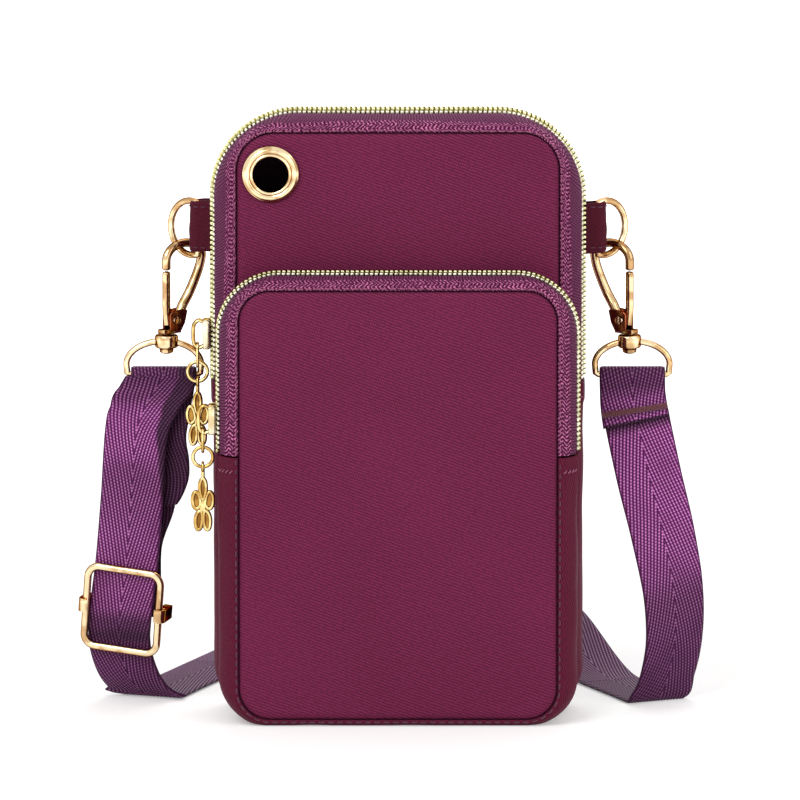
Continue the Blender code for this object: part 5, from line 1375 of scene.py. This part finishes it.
def build_hook(side):
    """The snap hook with its cheeks, swivel post, gate and rivet."""
    name = SIDES[side]
    place = swivel_place(side)
    base = Vector((place.x, place.y, HOOK_BASE_Z))
    axes = local_frame(base, spine_heading(side))
    across = turn_to(axes, INWARD)

    # From the cheeks up the spine, over the crook and down to the nose
    corners = [(HOOK_SPAN * u, HOOK_HEIGHT * w) for u, w in SPINE_SHARES]
    radius, rise = HOOK_SPAN / 2, HOOK_SPAN / 2 * CROOK_SHARE
    corners += arc((radius, HOOK_HEIGHT - rise), (radius, rise), 0, math.pi, 12)[1:]
    corners.append((0, NOSE_LOW))
    path = smooth_path(put(axes, corners), 5)
    radii = [HOOK_WIRE * (1.12 - 0.16 * min(1.0, i / (len(path) * 0.35))) for i in range(len(path))]
    hook = tube(path, across, radii, closed=False)

    toe, heel = RIVET_U - GATE_EYE - GAP, RIVET_U + GATE_EYE
    cheek = [
        (toe, BASE_HEIGHT / 2), (heel, BASE_HEIGHT / 2), (heel + 1.4 * MM, RIVET_W - 1.0 * MM),
        (heel + 2.3 * MM, RIVET_W + 2.6 * MM), (heel + 0.6 * MM, RIVET_W + 3.0 * MM),
        (toe + 0.8 * MM, RIVET_W + 2.6 * MM), (toe, RIVET_W + 1.8 * MM),
    ]
    cheeks = [bevelled(prism(cheek, axes, low, high), 0.28 * MM)
              for low, high in ((-CHEEK_OUTER, -CHEEK_INNER), (CHEEK_INNER, CHEEK_OUTER))]
    # The cheeks' dark gold is a painted dark reflection.
    add_piece(f"hook_cheeks_{name}", merge(*cheeks), "gold_dark_reflection", f"hook_{name}")
    foot = [(-POST_HEAD, 0), (heel + GAP, 0), (heel + GAP, BASE_HEIGHT), (-POST_HEAD, BASE_HEIGHT)]
    foot_half = (CHEEK_INNER + CHEEK_OUTER) / 2
    foot = bevelled(prism(foot, axes, -foot_half, foot_half), 0.3 * MM)
    drop = 2 * COLLAR_HALF + 2 * GAP
    end = drop + POST_HEAD_HEIGHT
    profile = [(0, BASE_HEIGHT / 2), (POST_RADIUS, BASE_HEIGHT / 2), (POST_RADIUS, -drop),
               (POST_HEAD - 0.25 * MM, -drop), (POST_HEAD, -drop - 0.25 * MM),
               (POST_HEAD * 0.92, -end + 0.45 * MM), (POST_HEAD * 0.6, -end + 0.1 * MM), (0, -end)]
    add_piece(f"snap_hook_{name}", merge(hook, foot, turned(profile, base, UP, 40)), "hook_gold",
              f"hook_{name}", f"hook_{name}")

    centre = axes @ Vector((RIVET_U, 0, RIVET_W))
    seat = CHEEK_OUTER + GAP / 3
    top = CHEEK_OUTER + GAP + RIVET_HEAD_HEIGHT
    profile = [(RIVET_RADIUS, seat), (RIVET_HEAD, seat), (RIVET_HEAD * 0.9, top - 0.26 * MM),
               (RIVET_HEAD * 0.55, top - 0.08 * MM), (0, top)]
    profile = [(r, -v) for r, v in reversed(profile)] + profile
    add_piece(f"rivet_{name}", turned(profile, centre, across, 32), "gold", f"hook_{name}",
              f"gate_rivet_{name}")

    corners = [(GATE_ROOT * 0.6, RIVET_W - 1.6 * MM), (0.2 * MM, RIVET_W + 1.0 * MM),
               (0, RIVET_W + GATE_BEND_RISE), (0, (RIVET_W + NOSE_LOW) / 2), (0, NOSE_LOW - GAP)]
    bar = tube(smooth_path(put(axes, corners), 6), across, GATE_WIRE, closed=False,
               flat=GATE_FLAT - 0.1 * MM)
    eye = [(RIVET_RADIUS + GAP, -GATE_EYE_HALF), (GATE_EYE, -GATE_EYE_HALF),
           (GATE_EYE, GATE_EYE_HALF), (RIVET_RADIUS + GAP, GATE_EYE_HALF)]
    add_piece(f"gate_bar_{name}", merge(bar, turned(eye, centre, across, 32)), "hook_gold", f"gate_{name}",
              f"gate_{name}")


def ring_centre(side):
    """The middle of the strap ring's bar, which lies a little outside the swivel's axis."""
    place = swivel_place(side)
    return Vector((place.x + side * RING_OFFSET, place.y, RING_BAR_Z))


def build_strap_ring(side):
    """The wire ring that the webbing holds, with the barrel collar in which the hook swivels."""
    name = SIDES[side]
    centre = ring_centre(side)
    inset = RING_HALF - RING_WIRE
    points = [(u, 0) for u in spread(-inset, inset, 16)]
    points.append((RING_HALF - 0.25 * MM, 0.35 * MM))
    bow = RING_HEIGHT - RING_SHOULDER
    points += arc((0, RING_SHOULDER), (RING_HALF, bow), 0, math.pi, 40)
    points.append((-RING_HALF + 0.25 * MM, 0.35 * MM))
    loop = tube(put(local_frame(centre, ACROSS), points), INWARD, RING_WIRE)
    low = centre + UP * (RING_HEIGHT - COLLAR_HALF) - Vector((side * RING_OFFSET, 0, 0))
    high = 2 * COLLAR_HALF
    edge = 0.45 * MM
    profile = [(COLLAR_BORE, 0), (COLLAR_RADIUS - edge, 0), (COLLAR_RADIUS - 0.1 * MM, edge * 0.6),
               (COLLAR_RADIUS, edge * 1.5)]
    profile += [(r, high - v) for r, v in reversed(profile)]
    add_piece(f"swivel_ring_{name}", merge(loop, turned(profile, low, UP, 40)), "gold",
              f"strap_ring_{name}", f"strap_ring_{name}")
    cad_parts[f"gate_spring_{name}"].material_slots[0].material = LOOKS["steel"][1]


# ---------------------------------------------------------------- webbing
def heading(degrees):
    """A level direction, in degrees from +X."""
    return Vector((math.cos(math.radians(degrees)), math.sin(math.radians(degrees)), 0))


def strip_station(centre, travel, across):
    """A station whose ends lie on the strip's edges although its width line is slanted."""
    normal = across.cross(travel)
    return centre, across * (WEB_HALF / normal.length), normal.normalized()


def route(points, widths, steps=16):
    """Stations along a smooth curve; widths turns the width direction about Z, in degrees."""
    centres = smooth_path(points, steps)
    turns = [a + (b - a) * (k / steps) for a, b in zip(widths, widths[1:]) for k in range(steps)]
    for centre in centres:
        centre.z = max(centre.z, WEB / 2)
    stations = []
    for centre, turn, before, after in zip(centres, turns + widths[-1:], centres[:1] + centres,
                                           centres[1:] + centres[-1:]):
        stations.append(strip_station(centre, (after - before).normalized(), heading(turn)))
    return stations


def ring_wrap(side, start):
    """Stations round the strap ring's bar; start is -1 for the loop's front face and 1 for its rear."""
    centre = ring_centre(side)
    turn = RING_WIRE + GAP + WEB / 2
    stations = []
    for k in range(25):
        angle = math.pi * k / 24
        radial = Vector((0, start * math.cos(angle), math.sin(angle)))
        travel = Vector((0, -start * math.sin(angle), math.cos(angle)))
        stations.append(strip_station(centre + radial * turn, travel, ACROSS))
    return stations


def hang(side, shares):
    """A place on a strand, from shares of the sway, the set-back and the ring's height."""
    ring = ring_centre(side)
    return Vector((ring.x + side * SWAY * shares[0], ring.y + SET_BACK * shares[1], ring.z * shares[2]))


def leg_length(floor_point, degrees):
    """How far a leg runs along the floor before it reaches the hank's line."""
    return (HANK_Y - floor_point.y) / math.sin(math.radians(degrees))


def floor_leg(floor_point, degrees, length, shares):
    """A leg's points along the floor, and the turns of its width."""
    points = [floor_point + FLOOR_LIFT + heading(degrees) * (length * share) for share in (0, *shares)]
    return points, [degrees - 90.0] * len(points)


# How far behind the front strand the buckle's bar and the end loop's rear run lie
BAR_DEPTH = WEB / 2 + GAP + WEB + GAP + BAR_RADIUS
END_LOOP_DEPTH = BAR_DEPTH + BAR_RADIUS + GAP + WEB / 2


def buckle_axes():
    """The buckle's frame of axes: u across the webbing, w up along it, v square to it."""
    top, low = (hang(-1, shares) for shares in LEFT_RUN_SHARES)
    along = (top - low).normalized()
    share = (BUCKLE_Z - low.z) / (top.z - low.z)
    across = heading(LEFT_RUN_SHARES[0][3])
    across = (across - along * across.dot(along)).normalized()
    return local_frame(low.lerp(top, share), across, along)


def resample(stations, pitch):
    """The stations at an even pitch along the strip."""
    marks = marks_along([station[0] for station in stations])
    total = marks[-1]
    count = max(2, round(total / pitch) + 1)
    found, i = [], 0
    for k in range(count):
        goal = total * k / (count - 1)
        while i < len(stations) - 2 and marks[i + 1] < goal:
            i += 1
        span = marks[i + 1] - marks[i]
        share = 0.0 if span == 0 else min(1.0, (goal - marks[i]) / span)
        a, b = stations[i], stations[i + 1]
        found.append((a[0].lerp(b[0], share), a[1].lerp(b[1], share), a[2].lerp(b[2], share).normalized()))
    return found


def ease_widths(stations, reach):
    """The stations with their widths turned towards their neighbours', so that bends make no points."""
    found = []
    for i, (place, half, normal) in enumerate(stations):
        near = stations[max(0, i - reach):i + reach + 1]
        mean = sum((other[1] for other in near), Vector()) / len(near)
        found.append((place, mean.normalized() * half.length, normal))
    return found


def strip_shell(stations, thickness, pitch, columns, run, rise, painted_shade_at=None):
    """A flat strip as a fine closed tube with thin round edges and ribs in relief."""
    cloth = Cloth()
    rings = []
    stations = resample(stations, pitch)
    marks = marks_along([station[0] for station in stations])
    for along, (centre, half, normal) in zip(marks, stations):
        ring = []
        for face in (1, -1):
            for k in range(columns):
                share = face * (2 * k / (columns - 1) - 1)
                edge = max(0.0, 1 - abs(share)) * WEB_HALF
                lift = thickness / 2 * min(1.0, 0.3 + edge / (1.1 * MM))
                if rise:
                    phase = abs(share * WEB_HALF / MM) / RIB_PITCH + run * (along / MM) / RIB_RUN
                    rib = 0.5 + 0.5 * math.cos(math.tau * phase)
                    lift -= rise * (1 - rib) * min(1.0, edge / (0.6 * MM))
                ring.append(centre + half * (share * (1 - 0.004)) + normal * (face * lift))
                # Each vertex's painted shade comes from the given function, or is none.
                cloth.note(share * WEB_HALF, along, painted_shade_at(share, along, centre.z) if painted_shade_at else 0.0)
        rings.append(ring)
    return (*loop_solid(rings, closed=False), cloth)


def add_web(name, stations, side, painted_shade_at, carrier, node):
    """A length of ribbed webbing, with the painted shade at each place from the given function."""
    add_piece(name, strip_shell(stations, WEB, 0.5 * MM, 61, -side, RIB_RISE, painted_shade_at),
              f"webbing_{SIDES[side]}", carrier, node, sharp=60)


def blend_table(table, value):
    """The value of a table of (place, number) pairs, smooth between its rows."""
    if value <= table[0][0]:
        return table[0][1]
    for (a, low), (b, high) in zip(table, table[1:]):
        if value <= b:
            share = (value - a) / (b - a)
            return low + (high - low) * share * share * (3 - 2 * share)
    return table[-1][1]


def station_run(stations):
    """How long a run of stations is."""
    return marks_along([station[0] for station in stations])[-1]


def slant(tail, rise):
    """Cuts the tail's end at a slant."""
    for i, station in enumerate(tail):
        station[1].z += rise * (1 - i / len(tail))


def build_left_strap():
    """The ring loop, the front strand through the buckle and the leg behind the bag."""
    wrap, centre = ring_wrap(-1, 1), ring_centre(-1)
    top, low = (hang(-1, shares) for shares in LEFT_RUN_SHARES)
    turn = LEFT_RUN_SHARES[0][3]
    axes = buckle_axes()
    aside = turn_to(axes, ACROSS)
    tail_top = top + turn_to(axes, Vector((TAIL_SHIFT, END_LOOP_DEPTH - WEB - GAP, 0)))
    tail_low = tail_top + (low - top).normalized() * (LEFT_TAIL - (centre.z - top.z))
    tail_middle = tail_top.lerp(tail_low, 0.5) + aside * TAIL_MIDDLE_SHIFT
    tail = route([tail_low + aside * TAIL_LOW_SHIFT, tail_middle, tail_top + aside * TAIL_TOP_SHIFT,
                  wrap[0][0]], [turn, turn, turn, 0])
    slant(tail, LEFT_TAIL_SLANT)
    bulge = turn_to(axes, Vector((-STRAND_BULGE, 0, 0)))
    points = [wrap[-1][0]] + [hang(-1, place) for place in LEFT_NECK_SHARES] + [top]
    points += [top.lerp(low, share) + bulge * swell for share, swell in RUN_SHARES]
    points += [hang(-1, place) for place in LEFT_FOOT_SHARES]
    widths = [0] + [place[3] for place in LEFT_NECK_SHARES] + [turn] * (1 + len(RUN_SHARES))
    widths += [place[3] for place in LEFT_FOOT_SHARES]
    floor = hang(-1, LEFT_FLOOR_SHARES)
    cut = leg_length(floor, LEFT_HEADING) - LEFT_CUT
    leg, leg_widths = floor_leg(floor, LEFT_HEADING, cut, LEFT_LEG_SHARES)
    strand = ease_widths(resample(route(points + leg, widths + leg_widths), 0.5 * MM), FOOT_EASE)
    length = station_run(tail)

    def painted_shade_at(share, along, z):
        """Painted shade: darkest on the rear end, which lies in shadow, on the folds and on the turned-back
        edge, with lit and shaded zones along the strand.
        """
        if along < length:
            return REAR_SHADE
        edge = blend_table(LEFT_EDGE, z / RING_BAR_Z)
        turned_back = blend_table(((edge - 0.08, 0.0), (edge + 0.08, REAR_SHADE)), share)
        return max(blend_table(LEFT_SHADES, z / RING_BAR_Z), turned_back)

    add_web("strap_web_left", tail[:-1] + wrap + strand[1:], -1, painted_shade_at, "root", "strap_left")


class Strip:
    """Folds a flat strip layer by layer: it knows where it is, where it heads and which face is up."""

    def __init__(self, place, travel):
        self.place, self.travel, self.face = place, travel, 1.0
        self.stations = []
        self.mark()

    def mark(self):
        left = (UP * self.face).cross(self.travel)
        self.stations.append((self.place.copy(), left * WEB_HALF, UP * self.face))

    def run(self, length, mark=False):
        self.place = self.place + self.travel * length
        if mark:
            self.mark()

    def fold(self, crease_degrees):
        """Turn the strip over on itself, upwards, round a crease at that angle about Z."""
        crease = heading(crease_degrees)
        if crease.dot((UP * self.face).cross(self.travel)) < 0:
            crease = -crease
        out = crease.cross(UP)
        if out.dot(self.travel) < 0:
            out = -out
        slide = self.travel.dot(crease) / self.travel.dot(out)
        half = crease * (WEB_HALF / abs(self.travel.dot(out)))
        radius = LAYER_PITCH / 2
        start = self.place
        for k in range(13):
            angle = math.pi * k / 12
            swing = out * math.sin(angle) + UP * (1 - math.cos(angle))
            self.place = start + crease * (slide * radius * angle) + swing * radius
            normal = (UP * math.cos(angle) - out * math.sin(angle)) * self.face
            self.stations.append((self.place.copy(), half, normal))
        self.travel = crease * (2 * self.travel.dot(crease)) - self.travel
        self.face = -self.face

    def turn_corner(self, length, crease):
        """Run on, fold at a slanted crease and clear it, with a little to spare either side."""
        corner = WEB_HALF / abs(math.tan(math.radians(crease))) + GAP
        self.run(length - corner, mark=True)
        self.run(corner)
        self.fold(crease)
        self.run(corner, mark=True)
        return corner


def build_hank():
    """The strap's spare length, folded to and fro in flat layers behind the bag."""
    ahead = heading(LEFT_HEADING)
    left_floor, right_floor = hang(-1, LEFT_FLOOR_SHARES), hang(1, RIGHT_FLOOR_SHARES)
    reach = leg_length(left_floor, LEFT_HEADING)
    strip = Strip(left_floor + FLOOR_LIFT + ahead * (reach - LEFT_CUT), ahead)
    strip.turn_corner(LEFT_CUT, LEFT_HEADING / 2)
    for layer in range(1, LAYERS):
        goal = HANK_HALF if layer % 2 else -HANK_HALF
        strip.run(abs(goal - strip.place.x))
        strip.fold(90.0)
    crease = (RIGHT_HEADING + 180.0) / 2
    slope = math.tan(math.radians(180.0 - crease))
    shift = heading(crease - 180.0) * (math.pi * LAYER_PITCH / 2 / abs(slope))
    reach = (strip.place.y + shift.y - right_floor.y) / math.sin(math.radians(RIGHT_HEADING))
    goal = right_floor.x + heading(RIGHT_HEADING).x * reach - shift.x
    corner = strip.turn_corner(goal - strip.place.x, crease)
    drop = strip.place.z - WEB / 2
    fall = reach - corner - RIGHT_CUT
    start = strip.place.copy()
    for k in range(1, 25):
        share = k / 24
        ease = share * share * (3 - 2 * share)
        strip.place = start + strip.travel * (fall * share) - UP * (drop * ease)
        strip.mark()
    # Painted shade: the spare length takes the same shade as the left strand's foot on the floor.
    shape = strip_shell(strip.stations, WEB, 0.9 * MM, 21, 1.0, 0.0, lambda *place: LEFT_SHADES[0][1])
    add_piece("strap_spare", shape, "webbing_left", "root", "strap_hank", sharp=60)


def build_right_strap():
    """The sewn end round the right strap ring, the strand down to the floor and the leg behind the bag."""
    wrap = ring_wrap(1, -1)
    tail = route([hang(1, place) for place in RIGHT_TAIL_SHARES] + [wrap[0][0]], [0, 0, 0])
    places = RIGHT_NECK_SHARES + RIGHT_BOW_SHARES + RIGHT_FOOT_SHARES
    leg, leg_widths = floor_leg(hang(1, RIGHT_FLOOR_SHARES), RIGHT_HEADING, RIGHT_CUT, RIGHT_LEG_SHARES)
    points = [wrap[-1][0]] + [hang(1, place) for place in places]
    strand = route(points + leg, [0] + [place[3] for place in places] + leg_widths)
    length = station_run(tail)
    slant(tail, TAIL_SLANT)

    def painted_shade_at(share, along, z):
        """Painted shade and highlight: a shadow line and a pale highlight ridge at the sewn end, then lit
        and shaded zones along the strand.
        """
        if along < length:
            return blend_table(TAIL_SHADES, along / MM)
        return blend_table(RIGHT_SHADES, z / RING_BAR_Z - share * TAIL_SLANT / RING_BAR_Z)

    add_web("strap_web_right", tail[:-1] + wrap + strand[1:], 1, painted_shade_at, "root", "strap_right")
    spaced = resample(tail, 0.25 * MM)
    centre, half, normal = spaced[min(len(spaced) - 1, round(TACK_RISE / (0.25 * MM)))]
    front = normal if normal.y < 0 else -normal
    line = [(centre + half * share + front * (WEB / 2), front) for share in spread(-0.97, 0.97, 40)]
    tack = stitch_row(line, 0.55 * MM, 1.7 * MM, 0.3 * MM, math.pi / 2)
    add_piece("bar_tack", tack, "thread_brown", "root")


# ---------------------------------------------------------------- buckle
def build_buckle():
    """The slider buckle: a wire frame before the strand, and a bar behind it with sleeve caps."""
    axes = buckle_axes()
    front = -(WEB / 2 + GAP + BUCKLE_WIRE)
    points = []
    straight_u, straight_w = BUCKLE_HALF_WIDTH - BUCKLE_CORNER, BUCKLE_HALF_HEIGHT - BUCKLE_CORNER
    for corner, (su, sw) in enumerate(((1, 1), (-1, 1), (-1, -1), (1, -1))):
        points += arc((su * straight_u, sw * straight_w), (BUCKLE_CORNER, BUCKLE_CORNER),
                      math.pi / 2 * corner, math.pi / 2 * (corner + 1), 10)
    add_piece("buckle_wire", tube(put(axes, points, front), turn_to(axes, INWARD), BUCKLE_WIRE), "gold",
              "slider_frame", "slider_frame")
    long = 2 * BUCKLE_HALF_WIDTH
    shapes = [turned([(0, 0), (BAR_RADIUS, 0), (BAR_RADIUS, long), (0, long)],
                     axes @ Vector((-BUCKLE_HALF_WIDTH, BAR_DEPTH, 0)), turn_to(axes, ACROSS), 32)]
    cap_axes = axes.copy()
    for row in range(3):
        cap_axes[row][1], cap_axes[row][2] = axes[row][2], axes[row][1]
    for side in SIDES:
        outline = cap_outline(side, front)
        shapes.append(bevelled(prism(outline, cap_axes, -CAP_HALF, CAP_HALF), 0.22 * MM, 2, 50))
    add_piece("buckle_bar", merge(*shapes), "gold", "slider_bar", "slider_bar")
    build_end_loop(axes)


def cap_outline(side, front):
    """A cap in section: it reaches forward from the bar and hooks round the frame's side wire."""
    centre, rear = side * BUCKLE_HALF_WIDTH, BAR_DEPTH + BAR_RADIUS
    inner, outer = BUCKLE_WIRE + GAP, BUCKLE_WIRE + GAP + CAP_WALL
    points = [(centre - side * CAP_LIP, rear), (centre + side * outer, rear)]
    points += arc((centre, front), (side * outer, -outer), 0, CAP_TURN, 16)
    points += arc((centre, front), (side * inner, -inner), CAP_TURN, 0, 16)
    return points + [(centre + side * inner, front + inner), (centre - side * CAP_LIP, front + inner)]


def build_end_loop(axes):
    """The strap's end sewn round the buckle's bar and running up behind the front strand."""
    turn = BAR_RADIUS + GAP + WEB / 2
    half = turn_to(axes, Vector((WEB_HALF, 0, 0)))
    path = [(BAR_DEPTH - turn, w) for w in spread(END_LOOP_FRONT, 0.5 * MM, 6)]
    path += arc((BAR_DEPTH, 0), (turn, turn), math.pi, math.tau, 24)
    path += [(BAR_DEPTH + turn, w) for w in spread(0.5 * MM, END_LOOP + END_OVERLAP, 24)]
    leans = ((0.0, 0.0), (END_LEAN_START, END_LEAN_BACK), (END_LOOP, END_LEAN + END_LEAN_BACK))
    stations = []
    for (v, w), (av, aw), (bv, bw) in zip(path, path[:1] + path, path[1:] + path[-1:]):
        normal = turn_to(axes, Vector((0, bw - aw, av - bv)).normalized())
        lean = blend_table(leans, w) if v > BAR_DEPTH else 0.0
        stations.append((axes @ Vector((lean, v, w)), half, normal))
    # Painted shade: the whole end loop is in shadow behind the front strand.
    add_web("sewn_end_loop", stations, -1, lambda *place: REAR_SHADE, "slider_bar", "strap_end_loop")


# ---------------------------------------------------------------- studio
CAMERA_DISTANCE = 5.0
CAMERA_ELEVATION = math.radians(10)
CAMERA_TARGET = Vector((0.58, -15.0, 94.06)) * MM
SENSOR = 36.0
VIEW_WIDTH = 232.56 * MM
FLOOR_SIZE = 14.0
WORLD_LIGHT = 0.62
AREA_LIGHTS = (
    ("key", (-0.75, -1.05, 1.25), 1.0, 15.0),
    ("fill", (1.15, -0.9, 0.75), 1.1, 7.0),
    ("rear", (0.2, 1.1, 1.3), 1.2, 9.0),
)


def build_studio():
    """Camera, floor, lamps and a white world."""
    camera = link_object("camera", bpy.data.cameras.new("camera"))
    camera.data.sensor_width = SENSOR
    camera.data.lens = SENSOR * CAMERA_DISTANCE / VIEW_WIDTH
    camera.data.clip_end = 60.0
    back_off = Vector((0, -math.cos(CAMERA_ELEVATION), math.sin(CAMERA_ELEVATION))) * CAMERA_DISTANCE
    camera.location = CAMERA_TARGET + back_off
    camera.rotation_euler = (math.pi / 2 - CAMERA_ELEVATION, 0, 0)
    bpy.context.scene.camera = camera

    half = FLOOR_SIZE / 2
    mesh = bpy.data.meshes.new("studio_floor")
    mesh.from_pydata([(-half, -half, 0), (half, -half, 0), (half, half, 0), (-half, half, 0)], [],
                     [(0, 1, 2, 3)])
    mesh.materials.append(floor_look())
    floor = link_object("studio_floor", mesh)

    middle = Vector((0, 0, 80 * MM))
    for name, place, size, power in AREA_LIGHTS:
        lamp = bpy.data.lights.new(name, "AREA")
        lamp.size, lamp.energy = size, power
        light = link_object(name, lamp)
        light.location = place
        light.visible_camera = False
        light.rotation_euler = (middle - light.location).to_track_quat("-Z", "Y").to_euler()

    world = bpy.data.worlds.new("studio_world")
    bpy.context.scene.world = world
    world.use_nodes = True
    sky = Nodes(world.node_tree)
    path = sky.add("ShaderNodeLightPath").outputs
    seen = sky.math("MAXIMUM", path["Is Camera Ray"], path["Is Glossy Ray"])
    seen = sky.math("MAXIMUM", seen, path["Is Transmission Ray"])
    background = sky.tree.nodes["Background"]
    sky.feed(background.inputs["Color"], (1.0, 1.0, 1.0, 1.0))
    sky.feed(background.inputs["Strength"], sky.map_range(seen, 0.0, 1.0, WORLD_LIGHT, 1.0))
    bpy.context.scene.view_settings.view_transform = "Standard"


build_studio()
build_body()
build_pocket()
build_eyelet()
build_zip_pull("main", CREST_HALF, 0.0, MAIN_SLIDER_Z)
build_zip_pull("pocket", POCKET_CREST_HALF, POCKET_CREST_Y, POCKET_SLIDER_Z)
for side in SIDES:
    build_tab(side)
    build_d_ring(side)
    build_strap_ring(side)
    build_hook(side)
build_left_strap()
build_hank()
build_right_strap()
build_buckle()
